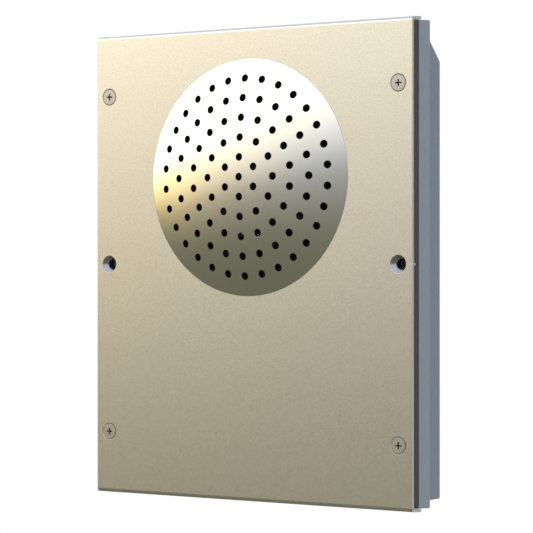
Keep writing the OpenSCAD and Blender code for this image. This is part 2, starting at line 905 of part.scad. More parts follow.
// Lead from the header to the right tag
module speaker_lead_black() {
    color([0.06, 0.06, 0.06]) cord(lead_route(1), lead_r);
}

// Rubber grommet in the cable pocket
module cable_grommet() {
    bore = cable_d / 2;
    front = pocket_front;
    back = front + wall;
    color([0.07, 0.07, 0.07]) translate([-cable_x, 0, cable_z])
        turned([[bore, front - lip_t], [grommet_r, front - lip_t], [grommet_r, front],
            [neck_r, front], [neck_r, back], [grommet_r, back], [grommet_r, back + lip_t],
            [bore, back + lip_t]]);
}

front_panel();
grille_dome();
panel_gasket();
back_box();
panel_screws();
screw_bushes();
fixing_bushes();
screw_inserts();
speaker_studs();
speaker_washers();
speaker_nuts();
speaker_seal();
speaker_basket();
cone_surround();
speaker_cone();
dust_cap();
coil_former();
voice_coil();
spider();
pole_plate();
magnet();
pole_yoke();
tag_strip();
speaker_tags();
tinsel_leads();
line_board();
board_screws();
terminal_block();
terminal_screws();
transformer_core();
transformer_winding();
line_capacitor();
lead_header();
speaker_lead_red();
speaker_lead_black();
cable_grommet();
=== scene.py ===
"""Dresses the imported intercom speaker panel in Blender, in the CAD model's own frame.

X is to the right, Y runs back into the wall and Z is up. Sizes are in millimetres, and depths
are counted from the panel's front face, as in the part's source.
"""

import logging
import math
from dataclasses import dataclass
from enum import Enum, IntEnum
from typing import Any, Iterable, Sequence

import bmesh
import bpy
import numpy as np
from mathutils import Matrix, Vector
from mathutils.geometry import delaunay_2d_cdt


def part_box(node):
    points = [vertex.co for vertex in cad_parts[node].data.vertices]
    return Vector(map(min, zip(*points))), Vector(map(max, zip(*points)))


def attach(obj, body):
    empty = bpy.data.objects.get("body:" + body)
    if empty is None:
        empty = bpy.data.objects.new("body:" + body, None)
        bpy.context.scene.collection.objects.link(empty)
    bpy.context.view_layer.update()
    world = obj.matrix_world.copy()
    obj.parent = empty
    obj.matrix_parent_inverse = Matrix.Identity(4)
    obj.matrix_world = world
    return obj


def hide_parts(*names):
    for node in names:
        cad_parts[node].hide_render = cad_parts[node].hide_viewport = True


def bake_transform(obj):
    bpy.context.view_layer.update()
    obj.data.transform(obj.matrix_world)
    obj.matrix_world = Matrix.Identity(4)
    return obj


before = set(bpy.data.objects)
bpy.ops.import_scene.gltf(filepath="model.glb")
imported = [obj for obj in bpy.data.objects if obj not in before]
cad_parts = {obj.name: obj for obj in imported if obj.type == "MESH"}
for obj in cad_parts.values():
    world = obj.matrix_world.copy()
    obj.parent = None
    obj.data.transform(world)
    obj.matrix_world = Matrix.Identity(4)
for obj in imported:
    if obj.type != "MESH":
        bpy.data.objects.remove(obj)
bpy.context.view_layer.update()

Flat = tuple[float, float]
Point = tuple[float, float, float]
Colour = tuple[float, float, float]
Station = tuple[float, float, float, float, float]

LOG = logging.getLogger("speaker_panel")
MM = 0.001
FULL = 2 * math.pi
QUARTER = math.pi / 2
MERGE_M = 1e-7
SLIVER_M = 1e-8
FILL_MM = 1e-6
NORMAL_WEIGHT = 80
WHITE = (1, 1, 1, 1)

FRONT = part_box("front_panel")[0].y
RIM_FRONT = 6.4
BACK = 32.1
LEAN = math.radians(4.0)
DOME = (0.0, 44.0)
DOME_AXIS = (DOME[0], 0.0, DOME[1])
SCREWS = [(x, z) for x in (-89.0, 89.0) for z in (-88.0, 88.0)]
FIXINGS = [(-89.0, 0.0), (89.0, 0.0)]
CABLE = (-62.0, -70.0)


class Body(Enum):
    """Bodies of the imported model."""

    HOUSING = "housing"
    CONE = "moving_cone"


class Pattern(Enum):
    """Marks that a finish shows on its surface."""

    GRAIN = "grain"
    CELLS = "cells"
    BANDS = "bands"
    RINGS = "rings"
    WEAVE = "weave"


class Axis(Enum):
    """Directions of a pattern."""

    X = "X"
    Y = "Y"
    Z = "Z"


class Cut(Enum):
    """Ways to join one solid to another."""

    UNION = "UNION"
    DIFFERENCE = "DIFFERENCE"


class Sheet(IntEnum):
    """Regions of the panel's sheet, in the order of their finishes."""

    FACE = 0
    EDGE = 1
    SINK = 2
    BACK = 3
    SEAT = 4


# Meshes


def circle(x: float, z: float, r: float, sides: int) -> list[Flat]:
    """Gives the points of a circle, counter-clockwise seen from the front."""
    turns = [FULL * k / sides for k in range(sides)]
    return [(x + r * math.cos(t), z + r * math.sin(t)) for t in turns]


def round_rect(hw: float, low: float, high: float, r: float, steps: int = 6) -> list[Flat]:
    """Gives the points of a rectangle with round corners.

    Args:
        hw: Half of its width.
        low: Height of its lower edge.
        high: Height of its upper edge.
        r: Corner radius.
        steps: Steps in each corner.

    Returns:
        Points of x and z, counter-clockwise seen from the front.
    """
    middles = [(hw - r, high - r), (r - hw, high - r), (r - hw, low + r), (hw - r, low + r)]
    points = []
    for quarter, (x, z) in enumerate(middles):
        for k in range(steps + 1):
            t = QUARTER * (quarter + k / steps)
            points.append((x + r * math.cos(t), z + r * math.sin(t)))
    return points


def quarter_round(r: float, steps: int = 4) -> list[Flat]:
    """Gives a quarter round as pairs of (how far in, how far along), from flat to upright."""
    turns = [QUARTER * k / steps for k in range(steps + 1)]
    return [(r * (1 - math.sin(t)), r * (1 - math.cos(t))) for t in turns]


def smooth_route(points: Sequence[Vector], steps: int = 6) -> list[Point]:
    """Gives the points of a smooth curve through the given ones.

    Args:
        points: Points that the curve passes.
        steps: Steps from each point to the next.

    Returns:
        Points of the curve.
    """
    made = []
    last = len(points) - 1
    for i in range(last):
        a, b = points[max(i - 1, 0)], points[i]
        c, d = points[i + 1], points[min(i + 2, last)]
        for s in range(steps):
            t = s / steps
            made.append(tuple(0.5 * (2 * b + (c - a) * t + (2 * a - 5 * b + 4 * c - d) * t * t
                                     + (3 * b - a - 3 * c + d) * t * t * t)))
    return made + [tuple(points[last])]


def inside(point: Vector, flat: Sequence[Vector], edges: Sequence[tuple[int, int]]) -> bool:
    """Tells whether a flat point lies in the region that edges bound.

    Args:
        point: The point.
        flat: Corners of the region.
        edges: Pairs of corners.

    Returns:
        True where the point is inside.
    """
    found = False
    for i, j in edges:
        a, b = flat[i], flat[j]
        if (a.y > point.y) != (b.y > point.y):
            found ^= point.x < a.x + (b.x - a.x) * (point.y - a.y) / (b.y - a.y)
    return found


def add_object(name: str, data: bpy.types.ID) -> bpy.types.Object:
    """Makes an object of that data and puts it in the scene.

    Args:
        name: Name of the object.
        data: Mesh, camera or lamp.

    Returns:
        The new object.
    """
    made = bpy.data.objects.new(name, data)
    bpy.context.scene.collection.objects.link(made)
    return made


class Shape:
    """Points and faces of one piece, in millimetres of x, depth and z."""

    def __init__(self) -> None:
        """Starts an empty shape."""
        self.points: list[Point] = []
        self.faces: list[tuple[int, ...]] = []
        self.marks: list[int] = []
        self.mark = 0

    def spots(self, points: Iterable[Point]) -> list[int]:
        """Adds points.

        Args:
            points: Points of x, depth and z.

        Returns:
            The points' numbers.
        """
        start = len(self.points)
        self.points.extend(points)
        return list(range(start, len(self.points)))

    def loop(self, points: Sequence[Flat], depth: float) -> list[int]:
        """Adds a loop of points of x and z at one depth and returns their numbers."""
        return self.spots((x, depth, z) for x, z in points)

    def face(self, ids: Sequence[int]) -> None:
        """Adds one face with the present mark."""
        self.faces.append(tuple(ids))
        self.marks.append(int(self.mark))

    def bridge(self, a: Sequence[int], b: Sequence[int]) -> None:
        """Joins two closed loops of as many points.

        Args:
            a: First loop.
            b: Second loop.
        """
        for i in range(len(a)):
            j = (i + 1) % len(a)
            self.face((a[i], a[j], b[j], b[i]))

    def stack(self, loops: Sequence[Sequence[int]]) -> None:
        """Joins each loop to the next."""
        for a, b in zip(loops, loops[1:]):
            self.bridge(a, b)

    def fill(self, loops: Sequence[Sequence[int]]) -> None:
        """Fills a flat region.

        Args:
            loops: The region's outer loop and the holes in it.
        """
        ids = [i for loop in loops for i in loop]
        flat = [Vector((self.points[i][0], self.points[i][2])) for i in ids]
        edges = []
        start = 0
        for loop in loops:
            n = len(loop)
            edges += [(start + k, start + (k + 1) % n) for k in range(n)]
            start += n
        made, _, faces, origin, _, _ = delaunay_2d_cdt(flat, edges, [], 0, FILL_MM)
        for face in faces:
            middle = sum((made[k] for k in face), Vector((0, 0))) / len(face)
            if inside(middle, flat, edges):
                self.face([ids[origin[k][0]] for k in face])

    def turned(self, profile: Sequence[Flat], x: float, z: float, sides: int,
               closed: bool = True) -> list[list[int]]:
        """Turns a profile of radius and depth about an axis along Y.

        Args:
            profile: Points of radius and depth.
            x: Axis across.
            z: Height of the axis.
            sides: Number of sides.
            closed: Joins the last point to the first.

        Returns:
            The loops, one for each point of the profile.
        """
        loops = [self.loop(circle(x, z, r, sides), d) for r, d in profile]
        self.stack(loops + loops[:1] if closed else loops)
        return loops

    def bar(self, place: Flat, r: float, front: float, back: float, sides: int = 40) -> None:
        """Adds a round bar along Y from one depth to another."""
        self.turned([(0, front), (r, front), (r, back), (0, back)], *place, sides, closed=False)

    def tube(self, route: Sequence[Point], r: float, sides: int = 12) -> None:
        """Sweeps a round section along a route.

        Args:
            route: Points of x, depth and z.
            r: Radius of the section.
            sides: Sides of the section.
        """
        path = [Vector(p) for p in route]
        last = len(path) - 1
        loops = []
        for i, p in enumerate(path):
            along = (path[min(i + 1, last)] - path[max(i - 1, 0)]).normalized()
            side = along.cross(Vector((1, 0, 0))).normalized()
            up = along.cross(side)
            loops.append(self.spots(
                tuple(p + a * side + b * up) for a, b in circle(0, 0, r, sides)))
        self.stack(loops)
        self.face(loops[0])
        self.face(loops[-1])

    def build(self, name: str) -> bpy.types.Object:
        """Makes the piece's object, with merged points and outward faces.

        Args:
            name: Name of the piece.

        Returns:
            The new object, in the scene.
        """
        mesh = bpy.data.meshes.new(name)
        places = [(x * MM, FRONT + d * MM, z * MM) for x, d, z in self.points]
        mesh.from_pydata(places, [], self.faces)
        mesh.polygons.foreach_set("material_index", self.marks)
        form = bmesh.new()
        form.from_mesh(mesh)
        bmesh.ops.remove_doubles(form, verts=form.verts, dist=MERGE_M)
        bmesh.ops.dissolve_degenerate(form, edges=form.edges, dist=SLIVER_M)
        bmesh.ops.recalc_face_normals(form, faces=form.faces)
        form.to_mesh(mesh)
        form.free()
        return add_object(name, mesh)

    def dressed(self, name: str, *finishes: "Finish", angle: float = 40.0) -> bpy.types.Object:
        """Makes the piece's object, with its finishes and smooth shading.

        Args:
            name: Name of the piece.
            finishes: One finish for each mark.
            angle: Edges sharper than this, in degrees, stay sharp.

        Returns:
            The new object, in the scene.
        """
        piece = self.build(name)
        dress(piece, *finishes)
        smooth(piece, angle)
        return piece


def settle(piece: bpy.types.Object) -> None:
    """Turns a piece's modifiers into its plain mesh.

    Args:
        piece: The piece.
    """
    view = bpy.context.evaluated_depsgraph_get()
    mesh = bpy.data.meshes.new_from_object(
        piece.evaluated_get(view), preserve_all_data_layers=True, depsgraph=view)
    piece.modifiers.clear()
    piece.data = mesh
    mesh.name = piece.name


def dress(piece: bpy.types.Object, *finishes: "Finish") -> None:
    """Gives a piece its finishes, in the order of its marks."""
    for finish in finishes:
        piece.data.materials.append(finish.material())


def smooth(piece: bpy.types.Object, angle: float = 40.0) -> None:
    """Shades a piece smoothly, with flat faces kept flat.

    Args:
        piece: The piece.
        angle: Edges sharper than this, in degrees, stay sharp.
    """
    piece.data.shade_smooth()
    piece.data.set_sharp_from_angle(angle=math.radians(angle))
    weigh = piece.modifiers.new("weigh", "WEIGHTED_NORMAL")
    weigh.keep_sharp = True
    weigh.weight = NORMAL_WEIGHT
    settle(piece)


def carve(piece: bpy.types.Object, tool: bpy.types.Object, cut: Cut) -> None:
    """Joins a tool to a piece, or cuts it out.

    Args:
        piece: The piece.
        tool: The other solid. It is removed.
        cut: How the two are joined.
    """
    change = piece.modifiers.new("carve", "BOOLEAN")
    change.object = tool
    change.operation = cut.value
    change.solver = "EXACT"
    change.material_mode = "TRANSFER"
    settle(piece)
    bpy.data.objects.remove(tool)


def register(piece: bpy.types.Object, body: Body, slot: str, *nodes: str) -> None:
    """Lets a piece ride on a body and stand for CAD nodes.

    Args:
        piece: The piece.
        body: Body that it moves with.
        slot: Material slot of the record; not used.
        nodes: CAD nodes that it replaces.
    """
    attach(piece, body.value)
    if nodes:
        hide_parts(*nodes)
    LOG.info("%s rides on %s", piece.name, body.value)


def register_flexing(piece: bpy.types.Object, node: str) -> None:
    """Lets a piece that sits between the housing and the cone stand for a CAD node, with its place
    baked into its mesh.

    Args:
        piece: The piece.
        node: CAD node that it replaces.
    """
    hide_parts(node)
    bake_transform(piece)
    LOG.info("%s flexes between the bodies", piece.name)


# Node trees


class Nodes:
    """Nodes and links of one tree."""

    def __init__(self, tree: bpy.types.NodeTree) -> None:
        """Takes the tree that the nodes go into."""
        self.tree = tree

    def feed(self, target: bpy.types.NodeSocket, term: Any) -> None:
        """Links a socket to an input, or sets the input to a plain value.

        Args:
            target: The input.
            term: A socket or a value.
        """
        if isinstance(term, bpy.types.NodeSocket):
            self.tree.links.new(term, target)
        else:
            target.default_value = term

    def node(self, kind: str, feeds: dict[Any, Any] | None = None,
             **settings: Any) -> bpy.types.Node:
        """Adds a node.

        Args:
            kind: Blender's name of the node.
            feeds: Sockets or values for its inputs, by their name or number.
            settings: The node's own settings.

        Returns:
            The new node.
        """
        made = self.tree.nodes.new(kind)
        for key, value in settings.items():
            setattr(made, key, value)
        for key, term in (feeds or {}).items():
            self.feed(made.inputs[key], term)
        return made

    def calc(self, operation: str, *terms: Any) -> bpy.types.NodeSocket:
        """Adds a calculation with sockets and numbers and returns its result."""
        return self.node("ShaderNodeMath", dict(enumerate(terms)), operation=operation).outputs[0]


class PieceTree(Nodes):
    """A Geometry Nodes tree with named inputs that makes one piece."""

    def __init__(self, name: str) -> None:
        """Starts a tree whose geometry runs from its input to its output.

        Args:
            name: Name of the tree.
        """
        super().__init__(bpy.data.node_groups.new(name, "GeometryNodeTree"))
        for side in ("INPUT", "OUTPUT"):
            self.tree.interface.new_socket(
                "Geometry", in_out=side, socket_type="NodeSocketGeometry")
        self.source = self.node("NodeGroupInput")
        self.result = self.node("NodeGroupOutput")

    def size(self, name: str, kind: str) -> bpy.types.NodeSocket:
        """Adds a named input of a kind such as Float and returns its socket."""
        self.tree.interface.new_socket(name, in_out="INPUT", socket_type=f"NodeSocket{kind}")
        return self.source.outputs[name]

    def close(self, made: bpy.types.NodeSocket, material: bpy.types.NodeSocket) -> None:
        """Ends the tree in plain geometry, with its material on the faces of the first slot.

        Args:
            made: Geometry of the piece.
            material: The material.
        """
        slot = self.node("GeometryNodeInputMaterialIndex").outputs["Material Index"]
        real = self.node("GeometryNodeRealizeInstances", {"Geometry": made})
        dressed = self.node("GeometryNodeSetMaterial", {
            "Geometry": real.outputs["Geometry"], "Material": material,
            "Selection": self.calc("LESS_THAN", slot, 0.5)})
        self.feed(self.result.inputs["Geometry"], dressed.outputs["Geometry"])

    def run(self, piece: bpy.types.Object, sizes: dict[str, Any]) -> None:
        """Runs the tree on a piece and keeps the plain mesh.

        Args:
            piece: Object whose mesh goes into the tree.
            sizes: Values of the named inputs.
        """
        change = piece.modifiers.new("tree", "NODES")
        change.node_group = self.tree
        for item in self.tree.interface.items_tree:
            if item.in_out == "INPUT" and item.name in sizes:
                change[item.identifier] = sizes[item.name]
        settle(piece)


def repeat_tree() -> PieceTree:
    """Makes the tree that repeats an object at each point of a piece.

    Returns:
        The tree.
    """
    tree = PieceTree("repeat_at_places")
    model = tree.size("Model", "Object")
    material = tree.size("Material", "Material")
    info = tree.node("GeometryNodeObjectInfo", {"Object": model}, transform_space="ORIGINAL")
    spread = tree.node("GeometryNodeInstanceOnPoints", {
        "Points": tree.source.outputs["Geometry"], "Instance": info.outputs["Geometry"]})
    tree.close(spread.outputs["Instances"], material)
    return tree


def repeat(name: str, model: bpy.types.Object, places: Sequence[Flat],
           material: bpy.types.Material) -> bpy.types.Object:
    """Repeats a model, made about x = 0 and z = 0, at several places.

    Args:
        name: Name of the new piece.
        model: Object to repeat. It is removed.
        places: Points of x and z.
        material: Finish of the piece.

    Returns:
        One object with all the copies in its mesh.
    """
    mesh = bpy.data.meshes.new(name)
    mesh.from_pydata([(x * MM, 0, z * MM) for x, z in places], [], [])
    piece = add_object(name, mesh)
    repeat_tree().run(piece, {"Model": model, "Material": material})
    bpy.data.objects.remove(model)
    return piece


class Graph(Nodes):
    """Node tree of one material, with a Principled shader and object coordinates."""

    def __init__(self, name: str) -> None:
        """Starts a material.

        Args:
            name: Name of the material.
        """
        self.material = bpy.data.materials.new(name)
        self.material.use_nodes = True
        super().__init__(self.material.node_tree)
        self.tree.nodes.clear()
        self.shader = self.node("ShaderNodeBsdfPrincipled")
        self.output = self.node("ShaderNodeOutputMaterial",
                                {"Surface": self.shader.outputs["BSDF"]})
        self.coords = self.node("ShaderNodeTexCoord").outputs["Object"]

    def noise(self, size_mm: float, detail: float = 2.0) -> bpy.types.NodeSocket:
        """Adds noise with marks of that size and returns its value."""
        return self.node("ShaderNodeTexNoise", {
            "Vector": self.coords, "Scale": 1 / (size_mm * MM), "Detail": detail}).outputs["Fac"]

    def between(self, value: bpy.types.NodeSocket, low: float, high: float, start: float,
                end: float) -> bpy.types.NodeSocket:
        """Maps a value from one range to another, and no further.

        Args:
            value: The value.
            low: Result at the start.
            high: Result at the end.
            start: Value at the start.
            end: Value at the end.

        Returns:
            The result.
        """
        return self.node("ShaderNodeMapRange", {
            "Value": value, "From Min": start, "From Max": end,
            "To Min": low, "To Max": high}).outputs["Result"]

    def share(self, value: bpy.types.NodeSocket, start: float,
              end: float) -> bpy.types.NodeSocket:
        """Gives how far a value has come from start to end, from 0 to 1."""
        return self.between(value, 0.0, 1.0, start, end)

    def mix(self, share: Any, a: Any, b: Any, **settings: Any) -> bpy.types.NodeSocket:
        """Mixes two colours.

        Args:
            share: Share of the second colour, a socket or a number.
            a: First colour, a socket or three numbers.
            b: Second colour, a socket or three numbers.
            settings: Settings of the Mix node.

        Returns:
            The mixed colour.
        """
        made = self.node("ShaderNodeMix", data_type="RGBA", **settings)
        sockets = {socket.identifier: socket for socket in made.inputs}
        for key, term in (("Factor_Float", share), ("A_Color", a), ("B_Color", b)):
            self.feed(sockets[key], (*term, 1) if isinstance(term, tuple) else term)
        return next(s for s in made.outputs if s.identifier == "Result_Color")

    def fade(self, surface: bpy.types.NodeSocket, share: bpy.types.NodeSocket) -> None:
        """Ends the material in a surface that fades into clear.

        Args:
            surface: Shader of the surface.
            share: How clear it is, from 0 to 1.
        """
        clear = self.node("ShaderNodeBsdfTransparent").outputs["BSDF"]
        blend = self.node("ShaderNodeMixShader", {"Fac": share, 1: surface, 2: clear})
        self.feed(self.output.inputs["Surface"], blend.outputs["Shader"])


# Finishes

CLOUD_MM = 14.0
CLOUD_DETAIL = 3.0
GLOSS_MM = 3.0
GLOSS_RANGE = (0.3, 0.7)
COAT_ROUGHNESS = 0.08
WAVE_DISTORTION = 0.4
WAVE_STEP = 20.0


@dataclass(frozen=True)
class Finish:
    """A surface finish: its colour, gloss and the marks that it shows."""

    name: str
    colour: Colour
    roughness: float
    metallic: float = 0.0
    pattern: Pattern = Pattern.GRAIN
    size_mm: float = 0.5
    spread: float = 0.06
    rough_spread: float = 0.05
    relief_mm: float = 0.01
    clouds: float = 0.25
    coat: float = 0.0
    shine: float = 0.5
    axis: Axis = Axis.Y
    middle: Point = (0.0, 0.0, 0.0)

    def marks(self, graph: Graph) -> bpy.types.NodeSocket:
        """Adds the finish's pattern to a graph.

        Args:
            graph: The material's graph.

        Returns:
            The pattern's value.
        """
        if self.pattern is Pattern.GRAIN:
            return graph.noise(self.size_mm)
        if self.pattern is Pattern.CELLS:
            return graph.node("ShaderNodeTexVoronoi", {
                "Vector": graph.coords, "Scale": 1 / (self.size_mm * MM)},
                feature="SMOOTH_F1").outputs["Distance"]
        if self.pattern is Pattern.WEAVE:
            waves = [self.wave(graph, "BANDS", axis) for axis in (Axis.X, Axis.Z)]
            return graph.calc("MULTIPLY", *waves)
        return self.wave(graph, self.pattern.name, self.axis)

    def wave(self, graph: Graph, kind: str, axis: Axis) -> bpy.types.NodeSocket:
        """Adds bands or rings that repeat at the finish's size.

        Args:
            graph: The material's graph.
            kind: BANDS or RINGS.
            axis: Direction of the bands, or axis of the rings.

        Returns:
            The pattern's value.
        """
        place = graph.node("ShaderNodeMapping", {
            "Vector": graph.coords, "Location": Vector(self.middle) * MM}, vector_type="TEXTURE")
        return graph.node("ShaderNodeTexWave", {
            "Vector": place.outputs["Vector"], "Distortion": WAVE_DISTORTION,
            "Scale": FULL / (WAVE_STEP * self.size_mm * MM)}, wave_type=kind,
            bands_direction=axis.value, rings_direction=axis.value).outputs["Fac"]

    def material(self) -> bpy.types.Material:
        """Builds the material, or returns it where it is built.

        Returns:
            The material.
        """
        known = bpy.data.materials.get(self.name)
        if known is not None:
            return known
        graph = Graph(self.name)
        marks = self.marks(graph)
        cloud = graph.noise(CLOUD_MM, CLOUD_DETAIL)
        tone = graph.calc("ADD", graph.calc("MULTIPLY", marks, 1 - self.clouds),
                          graph.calc("MULTIPLY", cloud, self.clouds))
        dark = tuple(c * (1 - self.spread) for c in self.colour)
        light = tuple(min(1.0, c * (1 + self.spread)) for c in self.colour)
        gloss = graph.between(graph.noise(GLOSS_MM), self.roughness - self.rough_spread,
                              self.roughness + self.rough_spread, *GLOSS_RANGE)
        bump = graph.node("ShaderNodeBump", {
            "Strength": 1.0, "Distance": self.relief_mm * MM, "Height": marks})
        feeds = {"Base Color": graph.mix(tone, dark, light), "Roughness": gloss,
                 "Metallic": self.metallic, "Specular IOR Level": self.shine,
                 "Normal": bump.outputs["Normal"]}
        if self.coat:
            feeds |= {"Coat Weight": self.coat, "Coat Roughness": COAT_ROUGHNESS}
        for key, term in feeds.items():
            graph.feed(graph.shader.inputs[key], term)
        return graph.material


BLASTED = Finish("blasted_champagne", (0.78, 0.72, 0.58), 0.25, metallic=0.97, size_mm=0.85,
                 spread=0.145, rough_spread=0.012, relief_mm=0.003, clouds=0.06)
SHEARED = Finish("sheared_edge", (0.42, 0.42, 0.40), 0.5, metallic=0.8, size_mm=0.25,
                 spread=0.10, relief_mm=0.01)
SEAT = Finish("seat_metal", (0.54, 0.49, 0.41), 0.38, metallic=0.5, size_mm=0.3,
              spread=0.05, relief_mm=0.002)
SUNK = Finish("sunk_metal", (0.58, 0.57, 0.54), 0.19, metallic=1.0, size_mm=0.3,
              spread=0.04, rough_spread=0.03, relief_mm=0.002)
POLISHED = Finish("polished_champagne", (0.80, 0.75, 0.62), 0.15, metallic=1.0,
                  pattern=Pattern.RINGS, size_mm=0.7, spread=0.015, rough_spread=0.015,
                  relief_mm=0.0002, middle=DOME_AXIS)
# Painted shade: near-black on the dome's inner face and the walls of its sound holes, so the holes
# read dark.
HOLE_SHADE = Finish("black_lacquer", (0.008, 0.008, 0.008), 0.6, size_mm=0.4, spread=0.2,
                 relief_mm=0.01)
# Painted shade: near-black on the back of the sheet, so the gaps between the gasket and the lips
# read dark.
BACK_SHADE = Finish("dull_black", (0.006, 0.006, 0.006), 0.9, size_mm=0.4, spread=0.2,
              relief_mm=0.01, shine=0.0)
FOAM = Finish("closed_cell_foam", (0.05, 0.049, 0.045), 0.9, pattern=Pattern.CELLS,
              size_mm=0.45, spread=0.25, relief_mm=0.12)
SLATE = Finish("slate_moulding", (0.19, 0.228, 0.268), 0.55, size_mm=0.35, spread=0.05,
               relief_mm=0.012)
# Coarser spark texture on the tub, in a darker colour that is painted shade of the tub behind the
# rim.
SPARKED_SHADE = Finish("sparked_slate", (0.162, 0.197, 0.234), 0.62, size_mm=0.6, spread=0.06,
                 relief_mm=0.03)
NICKEL = Finish("satin_nickel", (0.57, 0.525, 0.43), 0.38, metallic=0.95, size_mm=0.25,
                spread=0.05, relief_mm=0.003)
# Painted shade: darker colour in the cross recess of each screw head.
RECESS_SHADE = Finish("dark_recess", (0.26, 0.225, 0.185), 0.5, metallic=0.8, size_mm=0.3,
                relief_mm=0.002)
# Painted shade: dark colour on the side of each screw head, for the shade in the ring between head
# and countersink.
GROOVE_SHADE = Finish("dark_groove", (0.07, 0.063, 0.05), 0.55, metallic=0.7, size_mm=0.3,
                relief_mm=0.002)
TURNED = Finish("turned_steel", (0.30, 0.30, 0.30), 0.45, metallic=1.0, size_mm=0.3,
                spread=0.05, relief_mm=0.002)
RUBBER = Finish("black_rubber", (0.014, 0.014, 0.014), 0.65, size_mm=0.3, spread=0.2,
                relief_mm=0.02)
SURROUND = Finish("rolled_rubber", (0.012, 0.012, 0.012), 0.6, pattern=Pattern.RINGS,
                  size_mm=0.8, spread=0.15, relief_mm=0.02, middle=DOME_AXIS)
CLOTH = Finish("resin_cloth", (0.50, 0.34, 0.11), 0.75, pattern=Pattern.WEAVE, size_mm=0.5,
               spread=0.3, relief_mm=0.08)
RED = Finish("red_lead_sleeve", (0.34, 0.008, 0.006), 0.4, size_mm=0.4, relief_mm=0.004)
BLACK = Finish("black_lead_sleeve", (0.008, 0.008, 0.008), 0.4, size_mm=0.4, relief_mm=0.004)
TINSEL = Finish("tinsel_braid", (0.55, 0.20, 0.08), 0.4, metallic=1.0, pattern=Pattern.WEAVE,
                size_mm=0.25, spread=0.3, relief_mm=0.05)
SOLDER = Finish("bright_eyelet", (0.86, 0.86, 0.85), 0.12, metallic=1.0, size_mm=0.4,
                spread=0.03, relief_mm=0.002)

INSIDE: dict[str, Finish] = {
    "screw_inserts": Finish("knurled_brass", (0.62, 0.44, 0.18), 0.3, 1.0, Pattern.BANDS, 0.6,
                            0.15, relief_mm=0.1, axis=Axis.Z),
    "speaker_studs": Finish("plated_thread", (0.55, 0.54, 0.50), 0.3, 1.0, Pattern.BANDS, 0.7,
                            0.2, relief_mm=0.15),
    "speaker_washers": Finish("plated_sheet", (0.55, 0.54, 0.50), 0.32, 1.0, size_mm=0.4),
    "speaker_nuts": Finish("plated_nut", (0.57, 0.55, 0.49), 0.3, 1.0, size_mm=0.3),
    "speaker_basket": Finish("black_enamel", (0.02, 0.02, 0.022), 0.4, size_mm=0.5, spread=0.2,
                             coat=0.3),
    "speaker_cone": Finish("pressed_cone", (0.012, 0.012, 0.014), 0.5, pattern=Pattern.RINGS,
                           size_mm=2.4, spread=0.2, relief_mm=0.03, coat=0.08, shine=0.3,
                           middle=DOME_AXIS),
    "dust_cap": Finish("cap_film", (0.014, 0.014, 0.016), 0.4, size_mm=0.6, spread=0.2,
                       coat=0.12, shine=0.3),
    "coil_former": Finish("amber_film", (0.45, 0.30, 0.12), 0.3, size_mm=0.6),
    "voice_coil": Finish("enamelled_wire", (0.55, 0.20, 0.08), 0.3, 0.9, Pattern.BANDS, 0.22,
                         0.35, relief_mm=0.08),
    "pole_plate": Finish("plated_plate", (0.56, 0.54, 0.48), 0.34, 1.0, Pattern.RINGS, 0.5,
                         0.06, middle=DOME_AXIS),
    "magnet": Finish("ground_ferrite", (0.03, 0.03, 0.032), 0.6, size_mm=0.5, spread=0.3,
                     relief_mm=0.03),
    "pole_yoke": Finish("plated_yoke", (0.56, 0.54, 0.48), 0.34, 1.0, Pattern.RINGS, 0.6,
                        0.06, middle=DOME_AXIS),
    "tag_strip": Finish("paper_laminate", (0.16, 0.07, 0.025), 0.55, pattern=Pattern.WEAVE,
                        size_mm=0.6, spread=0.15),
    "speaker_tags": Finish("tinned_brass", (0.62, 0.50, 0.28), 0.28, 1.0, size_mm=0.4),
    "line_board": Finish("solder_resist", (0.012, 0.10, 0.035), 0.35, pattern=Pattern.WEAVE,
                         size_mm=0.9, spread=0.2, relief_mm=0.02),
    "board_screws": Finish("zinc_screw", (0.58, 0.57, 0.53), 0.3, 1.0, size_mm=0.3),
    "terminal_block": Finish("terminal_moulding", (0.02, 0.15, 0.07), 0.45, size_mm=0.3),
    "terminal_screws": Finish("clamp_screw", (0.60, 0.58, 0.52), 0.28, 1.0, size_mm=0.3),
    "transformer_core": Finish("core_laminations", (0.08, 0.08, 0.09), 0.45, 0.6,
                               Pattern.BANDS, 0.5, 0.35, relief_mm=0.1),
    "transformer_winding": Finish("yellow_tape", (0.60, 0.40, 0.06), 0.35,
                                  pattern=Pattern.BANDS, size_mm=2.0, spread=0.12, axis=Axis.Z),
    "line_capacitor": Finish("shrink_sleeve", (0.02, 0.03, 0.09), 0.3, size_mm=0.8, coat=0.2),
    "lead_header": Finish("nylon_moulding", (0.78, 0.74, 0.65), 0.45, size_mm=0.4),
}


# Sub-assemblies


